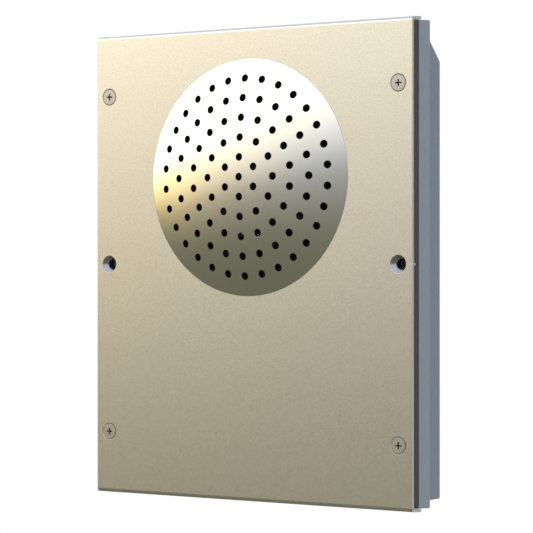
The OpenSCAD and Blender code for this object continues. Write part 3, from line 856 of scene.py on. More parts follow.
@dataclass
class FrontPanel:
    """Bent metal front with its dome opening and six countersinks."""

    half_w: float = 97.0
    half_h: float = 120.0
    sheet: float = 1.5
    bend_r: float = 2.0
    bend_steps: int = 10
    lip: float = 8.5
    edge: float = 0.16
    edge_steps: int = 3
    opening_edge: float = 0.05
    opening_r: float = 60.15
    opening_sides: int = 192
    sink_r: float = 4.5
    sink_edge: tuple[Flat, ...] = ((0.083, 0.0), (0.007, 0.015), (-0.058, 0.058))
    sink_foot: float = 0.03
    sink_sides: int = 64

    def stations(self) -> list[Station]:
        """Follows the sheet's outer face from the lower lip to the upper one.

        Returns:
            Depth, height, the face's direction in depth and height, and how far the section
            has drawn in at the sheet's ends.
        """
        r, low = self.bend_r, self.half_h - self.bend_r
        half = []
        for k in range(self.bend_steps + 1):
            t = LEAN + (QUARTER - LEAN) * k / self.bend_steps
            half.append((r - r * math.sin(t), -low - r * math.cos(t),
                         -math.sin(t), -math.cos(t), 0.0))
        depth, height, nd, nz, _ = half[0]
        ends = []
        for drawn, along in quarter_round(self.edge):
            back = self.lip - drawn
            ends.append((back, height - (back - depth) * math.tan(LEAN), nd, nz, along))
        half = ends[::-1] + half
        return half + [(d, -z, nd, -nz, i) for d, z, nd, nz, i in half[::-1]]

    def section(self, shape: Shape, station: Station) -> list[int]:
        """Adds the sheet's section at one station.

        Args:
            shape: Shape that takes it.
            station: Place and direction of the sheet there.

        Returns:
            The section's loop.
        """
        d, z, nd, nz, drawn = station
        e, steps = self.edge, self.edge_steps
        corners = [(1, e, -1), (1, self.sheet - e, 0), (-1, self.sheet - e, 1), (-1, e, 2)]
        points = []
        for side, deep, quarter in corners:
            for k in range(steps + 1):
                t = QUARTER * (quarter + k / steps)
                x = side * (self.half_w - e) + (e - drawn) * math.cos(t)
                below = deep + (e - drawn) * math.sin(t)
                points.append((x, d - below * nd, z - below * nz))
        return shape.spots(points)

    def build(self) -> None:
        """Builds the sheet, with its holes, and dresses it."""
        shape = Shape()
        loops = [self.section(shape, station) for station in self.stations()]
        flat = len(loops) // 2 - 1
        corner = self.edge_steps + 1
        back, front = 2 * corner - 1, 4 * corner - 1
        marks = {front: Sheet.FACE, back: Sheet.BACK}
        for k, (a, b) in enumerate(zip(loops, loops[1:])):
            for step in range(len(a)):
                if k == flat and step in marks:
                    continue
                shape.mark = marks.get(step, Sheet.EDGE)
                nxt = (step + 1) % len(a)
                shape.face((a[step], a[nxt], b[nxt], b[step]))
        shape.mark = Sheet.EDGE
        shape.face(loops[0])
        shape.face(loops[-1])
        low, high = loops[flat], loops[flat + 1]
        for step, holes in zip((front, back), self.holes(shape)):
            shape.mark = marks[step]
            nxt = (step + 1) % len(low)
            shape.fill([[low[step], low[nxt], high[nxt], high[step]], *holes])
        # The back of the sheet takes the near-black painted shade.
        panel = shape.dressed("front_panel_sheet", BLASTED, SHEARED, SUNK, BACK_SHADE, SEAT)
        register(panel, Body.HOUSING, "panel_metal", "front_panel")

    def holes(self, shape: Shape) -> tuple[list[list[int]], list[list[int]]]:
        """Adds the walls of the opening and the countersinks.

        Args:
            shape: Shape that takes them.

        Returns:
            The holes' loops on the front face and on the back face.
        """
        t, r, s, foot = self.sheet, self.opening_r, self.sink_r, self.sink_foot
        edge = quarter_round(self.opening_edge)
        wall = [(r + a, b) for a, b in edge] + [(r + a, t - b) for a, b in edge[::-1]]
        shape.mark = Sheet.EDGE
        made = [shape.turned(wall, *DOME, self.opening_sides, closed=False)]
        cone = [(s + a, depth) for a, depth in self.sink_edge]
        cone += [(s - t + foot, t - foot), (s - t, t)]
        for place in SCREWS + FIXINGS:
            shape.mark = Sheet.SEAT if place in SCREWS else Sheet.SINK
            made.append(shape.turned(cone, *place, self.sink_sides, closed=False))
        return [loops[0] for loops in made], [loops[-1] for loops in made]


@dataclass
class GrilleDome:
    """Pressed dome with rings of sound holes."""

    radius: float = 60.0
    height: float = 8.0
    sheet: float = 1.2
    flange_r: float = 65.0
    flange_front: float = 1.5
    flange_edge: float = 0.1
    skirt: float = 0.1
    skirt_root: float = 0.08
    rim_edge: float = 0.06
    rim_round: tuple[Flat, ...] = ((0.03, 0.02), (0.0, 0.07))
    rings: int = 5
    pitch: float = 10.0
    hole_r: float = 2.0
    punch: float = 60.0
    punch_sides: int = 32
    steps: int = 44
    sides: int = 160
    sharp: float = 35.0
    true_lean: float = 0.99

    @property
    def ball(self) -> float:
        """Radius of the ball that the dome is part of."""
        return (self.radius ** 2 + self.height ** 2) / (2 * self.height)

    def depth_at(self, r: float, inner: bool = False) -> float:
        """Gives the depth of the dome's outer or inner face at a radius."""
        ball = self.ball - (self.sheet if inner else 0.0)
        return self.ball - self.height - math.sqrt(ball ** 2 - r ** 2)

    def section(self, reach: float, inner: bool = False) -> list[Flat]:
        """Gives the section of one face as radius and depth, from the middle outwards."""
        radii = [reach * k / self.steps for k in range(self.steps + 1)]
        return [(r, self.depth_at(r, inner)) for r in radii]

    def outside(self) -> list[Flat]:
        """Gives the section of the polished side and the flange.

        Returns:
            Points of radius and depth, from the middle outwards.
        """
        r, t, f = self.radius + self.skirt, self.sheet, self.flange_front
        end, e, root = self.flange_r, self.flange_edge, self.skirt_root
        rim = [(r - a, depth) for a, depth in self.rim_round]
        return self.section(self.radius - self.rim_edge) + rim + [
            (r, f - root), (r + root, f), (end - e, f), (end, f + e), (end, f + t - e),
            (end - e, f + t), (self.radius - t, f + t)]

    def inside(self) -> list[Flat]:
        """Gives the section of the inner side, which takes the painted shade, from the flange to
        the middle.
        """
        r = self.radius - self.sheet
        return [(r, self.flange_front + self.sheet)] + self.section(r, True)[::-1]

    def hole_places(self, tree: PieceTree, pitch: bpy.types.NodeSocket,
                    middle: bpy.types.NodeSocket) -> bpy.types.NodeSocket:
        """Gives the place of each hole: ring n has 6n holes, and 3n(n - 1) + 1 lie before it.

        Args:
            tree: Tree that takes the nodes.
            pitch: Distance between rings.
            middle: Middle of the rings.

        Returns:
            The place, by the hole's index.
        """
        calc = tree.calc
        index = tree.node("GeometryNodeInputIndex").outputs["Index"]
        past = calc("SQRT", calc("SUBTRACT", calc("MULTIPLY", index, 12.0), 3.0))
        ring = calc("FLOOR", calc("DIVIDE", calc("ADD", past, 3.0), 6.0))
        around = calc("MAXIMUM", calc("MULTIPLY", ring, 6.0), 1.0)
        before = calc("MULTIPLY", calc("MULTIPLY", ring, 3.0), calc("SUBTRACT", ring, 1.0))
        step = calc("SUBTRACT", calc("SUBTRACT", index, before), 1.0)
        turn = calc("DIVIDE", calc("MULTIPLY", step, FULL), around)
        reach = calc("MULTIPLY", ring, pitch)
        place = tree.node("ShaderNodeCombineXYZ", {
            "X": calc("MULTIPLY", reach, calc("SINE", turn)),
            "Z": calc("MULTIPLY", reach, calc("COSINE", turn))})
        return tree.node("ShaderNodeVectorMath", {0: place.outputs["Vector"], 1: middle},
                         operation="ADD").outputs["Vector"]

    def tree(self) -> PieceTree:
        """Makes the tree that cuts rings of holes through the dome.

        Returns:
            The tree.
        """
        tree = PieceTree("sound_hole_rings")
        rings = tree.size("Rings", "Int")
        pitch = tree.size("Ring Pitch", "Float")
        hole_r = tree.size("Hole Radius", "Float")
        middle = tree.size("Middle", "Vector")
        material = tree.size("Material", "Material")
        wall = tree.size("Wall Material", "Material")
        calc = tree.calc
        places = self.hole_places(tree, pitch, middle)
        count = calc("ADD", calc("MULTIPLY", calc("MULTIPLY", rings, 3.0),
                                 calc("ADD", rings, 1.0)), 1.0)
        points = tree.node("GeometryNodePoints", {"Count": count, "Position": places})
        punch = tree.node("GeometryNodeMeshCylinder", {
            "Vertices": self.punch_sides, "Depth": self.punch * MM, "Radius": hole_r})
        spread = tree.node("GeometryNodeInstanceOnPoints", {
            "Rotation": (QUARTER, 0, 0), "Points": points.outputs["Points"],
            "Instance": punch.outputs["Mesh"]})
        real = tree.node("GeometryNodeRealizeInstances", {
            "Geometry": spread.outputs["Instances"]})
        # The hole walls take the near-black painted shade.
        dark = tree.node("GeometryNodeSetMaterial", {
            "Geometry": real.outputs["Geometry"], "Material": wall})
        cut = tree.node("GeometryNodeMeshBoolean", {
            "Mesh 1": tree.source.outputs["Geometry"], "Mesh 2": dark.outputs["Geometry"]},
            operation="DIFFERENCE", solver="EXACT")
        tree.close(cut.outputs["Mesh"], material)
        return tree

    def build(self) -> None:
        """Builds the perforated dome and dresses it."""
        shape = Shape()
        shape.turned(self.outside(), *DOME, self.sides, closed=False)
        # The inner face takes the near-black painted shade.
        shape.mark = 1
        shape.turned(self.inside(), *DOME, self.sides, closed=False)
        dome = shape.build("grille_dome_sheet")
        dress(dome, POLISHED, HOLE_SHADE)
        self.tree().run(dome, {
            "Rings": self.rings, "Ring Pitch": self.pitch * MM, "Hole Radius": self.hole_r * MM,
            "Middle": (DOME[0] * MM, FRONT, DOME[1] * MM),
            "Material": POLISHED.material(), "Wall Material": HOLE_SHADE.material()})
        self.shade(dome)
        register(dome, Body.HOUSING, "dome_metal", "grille_dome")

    def shade(self, dome: bpy.types.Object) -> None:
        """Gives both faces of the dome the ball's own normals, so that reflections run true.

        Args:
            dome: The dome.
        """
        mesh = dome.data
        mesh.shade_smooth()
        mesh.set_sharp_from_angle(angle=math.radians(self.sharp))
        deep = FRONT + (self.ball - self.height) * MM
        middle = Vector((DOME[0] * MM, deep, DOME[1] * MM))
        normals = [Vector(n.vector) for n in mesh.corner_normals]
        for face in mesh.polygons:
            out = (face.center - middle).normalized()
            lean = face.normal.dot(out)
            if abs(lean) > self.true_lean and face.center.y < FRONT:
                for corner in face.loop_indices:
                    place = mesh.vertices[mesh.loops[corner].vertex_index].co
                    normals[corner] = (place - middle).normalized() * (1 if lean > 0 else -1)
        mesh.normals_split_custom_set(normals)


@dataclass
class Gasket:
    """Foam frame between panel and box, cut out round the bushes."""

    half_w: float = 97.0
    low: float = -117.9
    high: float = 118.3
    inner_w: float = 77.0
    inner_h: float = 110.6
    inner_r: float = 1.0
    front: float = 1.5
    back: float = RIM_FRONT
    corner_r: float = 0.8
    bush_r: float = 5.62
    bush_sides: int = 48
    fixing_r: float = 8.02
    foot_r: float = 4.7
    shoulder: float = 3.6
    slit: float = 0.015
    bulge: float = 0.12
    cut_bulge: float = 0.8
    layers: int = 7

    def outline(self, inset: float, cut_r: float) -> list[Flat]:
        """Gives the outer edge, with the cut-outs round the fixing bushes open to the sides.

        Args:
            inset: How far the edge has drawn in.
            cut_r: Radius of the cut-outs. Where they end short of the edge, a fine slit is left.

        Returns:
            Points of x and z, counter-clockwise seen from the front.
        """
        hw, r = self.half_w - inset, cut_r - self.cut_bulge * inset
        x = FIXINGS[1][0]
        open_turn = math.acos((hw - x) / r) if r > hw - x else math.asin(self.slit / r)
        turns = np.linspace(-open_turn, open_turn - FULL, self.bush_sides + 1)
        notch = [(x + r * math.cos(t), r * math.sin(t)) for t in turns]
        notch = [(hw, notch[0][1]), *notch[1:-1], (hw, notch[-1][1])]
        corners = round_rect(hw, self.low + inset, self.high - inset, self.corner_r)
        half = len(corners) // 2
        left = [(-a, -b) for a, b in notch]
        return corners[:half] + left + corners[half:] + notch

    def build(self) -> None:
        """Builds the foam with slightly bulged edges and dresses it."""
        shape = Shape()
        deep = self.back - self.front
        step = (self.shoulder - self.front) / deep
        outer, hollow, bores = [], [], [[] for _ in SCREWS]
        for share in sorted([*np.linspace(0, 1, self.layers), step]):
            depth = self.front + deep * share
            inset = self.bulge * (1 - 4 * share * (1 - share))
            for cut_r, used in ((self.fixing_r, share <= step), (self.foot_r, share >= step)):
                if used:
                    outer.append(shape.loop(self.outline(inset, cut_r), depth))
            high = self.inner_h + inset
            hollow.append(shape.loop(
                round_rect(self.inner_w + inset, -high, high, self.inner_r), depth))
            for bore, place in zip(bores, SCREWS):
                bore.append(shape.loop(
                    circle(*place, self.bush_r + inset, self.bush_sides), depth))
        for loops in (outer, hollow, *bores):
            shape.stack(loops)
        for end in (0, -1):
            shape.fill([loops[end] for loops in (outer, hollow, *bores)])
        foam = shape.dressed("panel_gasket_foam", FOAM, angle=50)
        register(foam, Body.HOUSING, "gasket_foam", "panel_gasket")


@dataclass
class BackBox:
    """Moulded box: a rim, and a tub stepped in behind it with a sloping top."""

    rim_hw: float = 97.0
    rim_hh: float = 118.61
    tub_hw: float = 93.7
    tub_hh: float = 116.05
    slope_drop: float = 0.6
    rim_front: float = RIM_FRONT
    rim_back: float = RIM_FRONT + 10.6
    back: float = BACK
    wall: float = 2.5
    corner_r: float = 0.8
    front_round: float = 0.3
    back_round: float = 0.5
    back_steps: int = 6
    root_round: float = 0.3
    mouth: float = 0.2
    root: float = 0.6
    spare: float = 1.0
    pillar_r: float = 4.5
    insert_r: float = 2.8
    insert_depth: float = 9.0
    fixing_r: float = 2.25
    board: Point = (12.0, BACK - 7.5, -70.0)
    post_span: Flat = (41.5, 20.5)
    post_r: float = 3.2
    post_bore_r: float = 1.25
    pocket_boss_r: float = 13.5
    pocket_boss: float = 5.0
    pocket_r: float = 11.0
    pocket_edge: float = 0.3
    neck_r: float = 8.0
    neck: float = 4.0
    pocket_sides: int = 64

    def rim_loop(self, shape: Shape, inset: float, depth: float) -> list[int]:
        """Adds one loop of the leaning rim and returns it."""
        h = self.rim_hh + (depth - self.rim_front) * math.tan(LEAN) - inset
        return shape.loop(round_rect(self.rim_hw - inset, -h, h, self.corner_r), depth)

    def tub_loop(self, shape: Shape, inset: float, depth: float) -> list[int]:
        """Adds one loop of the tub, whose top slopes down.

        Args:
            shape: Shape that takes it.
            inset: How far the loop has drawn in.
            depth: Depth of the loop.

        Returns:
            The loop.
        """
        high = self.tub_hh - self.slope_drop - (depth - self.rim_back) - inset
        points = round_rect(self.tub_hw - inset, inset - self.tub_hh, high, self.corner_r)
        return shape.loop(points, depth)

    def rim_loops(self, shape: Shape) -> list[list[int]]:
        """Adds the loops of the rim's outer face.

        Args:
            shape: Shape that takes them.

        Returns:
            The loops, from front to back.
        """
        plan = [(a, self.rim_front + b) for a, b in quarter_round(self.front_round)]
        plan += [(a, self.rim_back - b) for a, b in quarter_round(self.back_round)[::-1]]
        return [self.rim_loop(shape, inset, depth) for inset, depth in plan]

    def tub_loops(self, shape: Shape) -> list[list[int]]:
        """Adds the loops of the tub's outer face.

        Args:
            shape: Shape that takes them.

        Returns:
            The loops, from front to back.
        """
        plan = [(-a, self.rim_back + b) for a, b in quarter_round(self.root_round)]
        plan += [(b, self.back - a) for a, b in quarter_round(self.back_round, self.back_steps)]
        return [self.tub_loop(shape, inset, depth) for inset, depth in plan]

    def inner_loops(self, shape: Shape) -> list[list[int]]:
        """Adds the loops of the inner face.

        Args:
            shape: Shape that takes them.

        Returns:
            The loops, from back to front.
        """
        w, c = self.wall, self.mouth
        hw, low, high = self.tub_hw - w, w - self.tub_hh, self.tub_hh - w
        rim_w, rim_h = self.rim_hw - w, self.rim_hh - w
        slope = w * math.sqrt(2) + self.slope_drop
        back_high = self.tub_hh - (self.back - self.rim_back) + w - slope
        plan = [
            (hw, low, back_high, self.back - w),
            (hw, low, high, self.rim_back + w - slope),
            (hw, low, high, self.rim_back - w),
            (rim_w, -rim_h, rim_h, self.rim_back - w),
            (rim_w, -rim_h, rim_h, self.rim_front + c),
            (rim_w + c, -rim_h - c, rim_h + c, self.rim_front),
        ]
        return [shape.loop(round_rect(*edges, self.corner_r / 2), d) for *edges, d in plan]

    def bosses(self) -> bpy.types.Object:
        """Makes the pillars, board posts and cable pocket that join the box.

        Returns:
            One object with all of them.
        """
        shape = Shape()
        end = self.back - self.root
        for place in SCREWS + FIXINGS:
            shape.bar(place, self.pillar_r, self.rim_front, end)
        for place in self.posts():
            shape.bar(place, self.post_r, self.board[1], end)
        shape.bar(CABLE, self.pocket_boss_r, self.back - self.pocket_boss, end)
        return shape.build("bosses")

    def bores(self) -> bpy.types.Object:
        """Makes the holes that are cut from the box.

        Returns:
            One object with all of them.
        """
        shape = Shape()
        start, end = self.rim_front - self.spare, self.back + self.spare
        pocket, c = self.back - self.wall, self.pocket_edge
        for place in SCREWS:
            shape.bar(place, self.insert_r, start, self.rim_front + self.insert_depth)
        for place in FIXINGS:
            shape.bar(place, self.fixing_r, start, end)
        for place in self.posts():
            shape.bar(place, self.post_bore_r, self.board[1] - self.spare, pocket)
        r, wide, n, front = self.pocket_r, self.pocket_r + 2 * c, self.neck_r, pocket - self.neck
        shape.turned([(0, front), (n, front), (n, pocket), (r, pocket), (r, self.back - c),
                      (wide, self.back + c), (wide, end), (0, end)],
                     *CABLE, self.pocket_sides, closed=False)
        return shape.build("bores")

    def posts(self) -> list[Flat]:
        """Gives the places of the four board posts.

        Returns:
            Points of x and z.
        """
        x, _, z = self.board
        wide, high = self.post_span
        return [(x + a * wide, z + b * high) for a in (-1, 1) for b in (-1, 1)]

    def build(self) -> None:
        """Builds the moulding and dresses it."""
        shape = Shape()
        rim, tub = self.rim_loops(shape), self.tub_loops(shape)
        inner = self.inner_loops(shape)
        shape.stack(inner)
        shape.bridge(inner[-1], rim[0])
        shape.fill([inner[0]])
        shape.stack(rim)
        # The tub takes the spark texture with its painted shade.
        shape.mark = 1
        shape.stack(rim[-1:] + tub)
        shape.fill([tub[-1]])
        box = shape.build("back_box_moulding")
        dress(box, SLATE, SPARKED_SHADE)
        carve(box, self.bosses(), Cut.UNION)
        carve(box, self.bores(), Cut.DIFFERENCE)
        smooth(box)
        register(box, Body.HOUSING, "box_plastic", "back_box")


@dataclass
class PanelScrews:
    """Countersunk cross-head screws, and the bushes under the panel's countersinks."""

    head_r: float = 3.98
    head: float = 0.1
    head_edge: tuple[Flat, ...] = ((0.08, 0.0), (0.02, 0.03), (0.0, 0.09))
    land: float = 0.2
    shank_r: float = 1.95
    tip: float = 14.1
    tip_edge: float = 1.0
    arm: float = 1.85
    arm_w: float = 0.40
    recess_taper: tuple[Flat, ...] = ((1.15, -0.5), (1.0, 0.0), (0.55, 1.5))
    bore_r: float = 2.25
    bush_front: float = 1.5
    bush_back: float = RIM_FRONT
    bush_edge: float = 0.15
    mouth_r: float = 3.0
    mouth_foot: tuple[Flat, ...] = ((0.0, 0.78), (0.06, 0.68))
    screw_bush_r: float = 5.5
    flange_r: float = 7.9
    flange: float = 2.0
    foot_r: float = 4.6
    sides: int = 64

    def recess_tool(self) -> bpy.types.Object:
        """Makes the tapered cross that is cut from a screw's head.

        Returns:
            The cross.
        """
        shape = Shape()
        a, w = self.arm, self.arm_w
        cross = [(a, -w), (a, w), (w, w), (w, a), (-w, a), (-w, w), (-a, w), (-a, -w),
                 (-w, -w), (-w, -a), (w, -a), (w, -w)]
        loops = [shape.loop([(x * k, z * k) for x, z in cross], self.head + deep)
                 for k, deep in self.recess_taper]
        shape.stack(loops)
        shape.fill([loops[0]])
        shape.fill([loops[-1]])
        tool = shape.build("recess")
        # The cross takes the recess's painted shade.
        dress(tool, RECESS_SHADE)
        return tool

    def build(self) -> None:
        """Builds the screws and both kinds of bush and dresses them."""
        r, h, shank, tip = self.head_r, self.head, self.shank_r, self.tip
        top, edge, side = [(r - a, h + b) for a, b in self.head_edge]
        under = h + self.land
        shape = Shape()
        shape.turned([(0, h), top, edge], 0, 0, self.sides, closed=False)
        # The head's side takes the painted shade of the ring.
        shape.mark = 1
        shape.turned([edge, side, (r, under), (shank, under + r - shank),
                      (shank, tip - self.tip_edge), (shank / 2, tip), (0, tip)],
                     0, 0, self.sides, closed=False)
        screw = shape.build("screw")
        dress(screw, NICKEL, GROOVE_SHADE)
        carve(screw, self.recess_tool(), Cut.DIFFERENCE)
        smooth(screw, 30)
        screws = repeat("panel_screw_set", screw, SCREWS, NICKEL.material())
        register(screws, Body.HOUSING, "screw_nickel", "panel_screws")
        self.bushes("screw_bush_set", self.screw_bush_r, self.screw_bush_r, self.bush_back,
                    SCREWS, "screw_bushes")
        self.bushes("fixing_bush_set", self.flange_r, self.foot_r,
                    self.bush_front + self.flange, FIXINGS, "fixing_bushes")

    def bushes(self, name: str, flange_r: float, foot_r: float, flange_back: float,
               places: Sequence[Flat], node: str) -> None:
        """Builds one kind of bush.

        Args:
            name: Name of the piece.
            flange_r: Radius of the front part.
            foot_r: Radius of the foot.
            flange_back: Depth of the flange's back.
            places: Where the bushes stand.
            node: CAD node that they replace.
        """
        f, b, c = self.bush_front, self.bush_back, self.bush_edge
        shape = Shape()
        profile = [(self.mouth_r, f), (flange_r - c, f), (flange_r, f + c),
                   (flange_r, flange_back - c), (flange_r - c, flange_back)]
        if foot_r < flange_r:
            profile += [(foot_r, flange_back), (foot_r, b - c), (foot_r - c, b)]
        profile += [(self.bore_r + c, b), (self.bore_r, b - c)]
        shape.turned(profile, 0, 0, self.sides, closed=False)
        shape.mark = 1
        mouth = [(self.bore_r + out, f + deep) for out, deep in self.mouth_foot]
        shape.turned([profile[-1], *mouth, profile[0]], 0, 0, self.sides, closed=False)
        model = shape.dressed("bush", TURNED, SUNK, angle=30)
        register(repeat(name, model, places, TURNED.material()), Body.HOUSING, "bush_steel", node)


@dataclass
class Loudspeaker:
    """Soft pieces of the loudspeaker, its leads and the eyelets in its cone."""

    sides: int = 128
    seal_in: float = 57.0
    seal_out: float = 65.0
    seal_front: float = 2.7
    seal_back: float = 4.7
    seal_edge: float = 0.35
    seal_bulge: float = 0.08
    roll_r: float = 54.0
    roll_steps: int = 20
    cone_r: float = 46.0
    rubber: float = 0.6
    glue: float = 2.5
    spider_in: float = 8.3
    spider_out: float = 37.0
    spider_flat: float = 29.0
    spider_front: float = 12.5
    spider_drop: float = 1.4
    spider_t: float = 0.5
    spider_wave: float = 0.5
    spider_waves: int = 4
    spider_steps: int = 120
    cone_back: float = 11.2
    cone_deep: float = 6.2
    lead_r: float = 0.6
    lead_start: Point = (-18.0, BACK - 15.2, -50.0)
    lead_gap: float = 2.0
    lead_steps: tuple[Point, ...] = (
        (0, 0, 0), (0, 0.32, 0), (0, 0.5, 0.09), (0.16, 0.61, 0.33), (0.52, 0.69, 0.59),
        (0.86, 0.78, 0.85), (1, 0.91, 1))
    lead_rises: Flat = (2.5, 6.5)
    tag_x: float = 6.0
    tag_depth: float = 8.6
    tag_z: float = -28.5
    tinsel_r: float = 0.4
    tinsel_clear: float = 1.05
    tinsel_start: tuple[Flat, ...] = ((8.35, -60), (9.15, -57), (10, -52), (10, -46))
    eyelet_reach: float = 30.0
    eyelet_gap: float = 5.1
    eyelet_x: float = -4.1
    eyelet_foot: float = 0.25
    eyelet: tuple[Flat, ...] = (
        (0, 0.82), (0.5, 0.79), (1.0, 0.7), (1.4, 0.55), (1.5, 0.4), (1.5, 0), (0, 0))
    eyelet_sides: int = 24

    def build(self) -> None:
        """Builds the pieces in order."""
        self.seal()
        self.surround()
        self.spider()
        self.leads()
        self.eyelets()

    def seal(self) -> None:
        """Builds the foam ring behind the dome's flange."""
        c, e = self.seal_edge, self.seal_bulge
        a, b, f, k = self.seal_in, self.seal_out, self.seal_front, self.seal_back
        mid = (f + k) / 2
        shape = Shape()
        shape.turned([(a + c, f), (b - c, f), (b - e, f + c), (b, mid), (b - e, k - c),
                      (b - c, k), (a + c, k), (a + e, k - c), (a, mid), (a + e, f + c)],
                     *DOME, self.sides)
        seal = shape.dressed("speaker_seal_foam", FOAM, angle=50)
        register(seal, Body.HOUSING, "gasket_foam", "speaker_seal")

    def flex(self, piece: bpy.types.Object, node: str, outer: float,
             inner: float) -> None:
        """Lets a ring flex between the basket and the cone, by its points' radius.

        Args:
            piece: The ring.
            node: CAD node that it replaces.
            outer: Radius that stays with the basket; not used.
            inner: Radius that moves with the cone; not used.
        """
        register_flexing(piece, node)

    def surround(self) -> None:
        """Builds the half-round rubber surround."""
        mid, r = (self.roll_r + self.cone_r) / 2, (self.roll_r - self.cone_r) / 2
        back, t, inner = self.seal_back, self.rubber, r - self.rubber
        start, end = self.cone_r - self.glue, self.roll_r + self.glue
        turns = [math.pi * k / self.roll_steps for k in range(self.roll_steps + 1)]
        front = [(mid - r * math.cos(a), back - t - inner * math.sin(a)) for a in turns]
        rear = [(mid + inner * math.cos(a), back - inner * math.sin(a)) for a in turns]
        shape = Shape()
        shape.turned([(start, back - t), *front, (end, back - t),
                      (end, back), *rear, (start, back)], *DOME, self.sides)
        rubber = shape.dressed("cone_surround_rubber", SURROUND, angle=50)
        self.flex(rubber, "cone_surround", self.roll_r, self.cone_r)

    def spider_depth(self, r: float) -> float:
        """Gives the depth of the spider's front face at a radius.

        Args:
            r: The radius.

        Returns:
            The depth.
        """
        share = max(0.0, (self.spider_flat - r) / (self.spider_flat - self.spider_in))
        wave = self.spider_wave * math.sin(FULL * self.spider_waves * share)
        return self.spider_front + self.spider_drop * share - wave

    def spider(self) -> None:
        """Builds the corrugated cloth disc that centres the voice coil."""
        radii = np.linspace(self.spider_in, self.spider_out, self.spider_steps + 1)
        front = [(r, self.spider_depth(r)) for r in radii]
        shape = Shape()
        shape.turned(front + [(r, d + self.spider_t) for r, d in front[::-1]], *DOME, self.sides)
        cloth = shape.dressed("spider_disc", CLOTH, angle=60)
        self.flex(cloth, "spider", self.spider_flat, self.spider_in)

    def cone_face(self, r: float) -> float:
        """Gives the depth of the cone's front face at a radius."""
        wide = self.cone_r - self.glue - self.spider_in
        return self.cone_back - self.cone_deep * (r - self.spider_in) / wide

    def eyelet_place(self, side: int) -> Flat:
        """Gives the place of one eyelet from the cone's middle; side is -1 or 1."""
        x = self.eyelet_gap * side + self.eyelet_x
        return x, -math.sqrt(self.eyelet_reach ** 2 - x * x)

    def lead_route(self, side: int) -> list[Vector]:
        """Gives the CAD route of one insulated lead, from the board to its tag.

        Args:
            side: -1 or 1.

        Returns:
            Points of x, depth and z.
        """
        start = Vector(self.lead_start) + Vector((self.lead_gap * side, 0, 0))
        end = Vector((self.tag_x * side, self.tag_depth, self.tag_z))
        way = end - start
        route = [start + Vector(a * b for a, b in zip(way, s)) for s in self.lead_steps]
        return route + [end + Vector((0, 0, rise)) for rise in self.lead_rises]

    def tinsel_route(self, side: int) -> list[Vector]:
        """Gives the CAD route of one tinsel lead, from its tag to its eyelet.

        Args:
            side: -1 or 1.

        Returns:
            Points of x, depth and z.
        """
        x = self.tag_x * side
        x_end, z_end = self.eyelet_place(side)
        on_cone = self.cone_face(self.eyelet_reach) + self.tinsel_clear
        bend = [(x, depth, z) for depth, z in self.tinsel_start]
        # Two points on the way across, and the eyelet
        bend += [(0.7 * x + 0.3 * x_end, (20 + on_cone) / 3, -40.4),
                 (0.3 * x + 0.7 * x_end, on_cone + 0.4, -34.8), (x_end, on_cone, z_end)]
        return [Vector((a, b, c + DOME[1])) for a, b, c in bend]

    def leads(self) -> None:
        """Builds the two insulated leads and the two tinsel leads on their CAD routes."""
        tinsel = Shape()
        for side, word, finish in ((-1, "red", RED), (1, "black", BLACK)):
            shape = Shape()
            shape.tube(smooth_route(self.lead_route(side)), self.lead_r)
            lead = shape.dressed(f"speaker_lead_{word}_wire", finish, angle=60)
            register(lead, Body.HOUSING, f"{word}_insulation", f"speaker_lead_{word}")
            tinsel.tube(smooth_route(self.tinsel_route(side)), self.tinsel_r)
        braid = tinsel.dressed("tinsel_lead_braid", TINSEL, angle=60)
        register_flexing(braid, "tinsel_leads")

    def eyelets(self) -> None:
        """Builds the bright eyelets where the tinsel leads come through the cone."""
        base = self.cone_face(self.eyelet_reach) + self.eyelet_foot
        shape = Shape()
        shape.turned([(r, base - up) for r, up in self.eyelet], 0, 0, self.eyelet_sides,
                     closed=False)
        model = shape.dressed("eyelet", angle=50)
        places = [(x, DOME[1] + z) for x, z in map(self.eyelet_place, (-1, 1))]
        eyelets = repeat("cone_eyelets", model, places, SOLDER.material())
        register(eyelets, Body.CONE, "plated_steel")


@dataclass
class CableGrommet:
    """Rubber grommet in the pocket of the back wall."""

    bore_r: float = 4.0
    neck_r: float = 8.0
    lip_r: float = 10.0
    lip_round: float = 0.5
    front: float = BACK - 6.5
    neck_front: float = BACK - 5.0
    neck_back: float = BACK - 2.5
    back: float = BACK - 1.0
    sides: int = 64

    def build(self) -> None:
        """Builds the grommet with round lips and dresses it."""
        c, bore, neck, lip = self.lip_round, self.bore_r, self.neck_r, self.lip_r
        edge = quarter_round(c)
        profile = [(bore, self.front + c), (bore + c, self.front)]
        profile += [(lip - a, self.front + b) for a, b in edge]
        profile += [(lip, self.neck_front), (neck, self.neck_front), (neck, self.neck_back),
                    (lip, self.neck_back)]
        profile += [(lip - a, self.back - b) for a, b in edge[::-1]]
        profile += [(bore + c, self.back), (bore, self.back - c)]
        shape = Shape()
        shape.turned(profile, *CABLE, self.sides)
        grommet = shape.dressed("cable_grommet_rubber", RUBBER, angle=50)
        register(grommet, Body.HOUSING, "grommet_rubber", "cable_grommet")


def dress_inside() -> None:
    """Gives each CAD node that still shows its own finish."""
    for name, finish in INSIDE.items():
        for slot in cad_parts[name].material_slots:
            slot.material = finish.material()
        LOG.info("%s keeps its CAD shape", name)


# Studio


def aim(thing: bpy.types.Object, place: Vector, way: Vector) -> None:
    """Puts a camera or lamp in its place, so that it looks that way.

    Args:
        thing: Camera or lamp.
        place: Where it stands.
        way: Direction that it looks in.
    """
    thing.location = place
    thing.rotation_mode = "QUATERNION"
    thing.rotation_quaternion = way.to_track_quat("-Z", "Y")


def outward(azimuth: float, elevation: float) -> Vector:
    """Gives the direction of an azimuth and an elevation in degrees, seen from the panel."""
    a, e = math.radians(azimuth), math.radians(elevation)
    return Vector((math.sin(a) * math.cos(e), -math.cos(a) * math.cos(e), math.sin(e)))


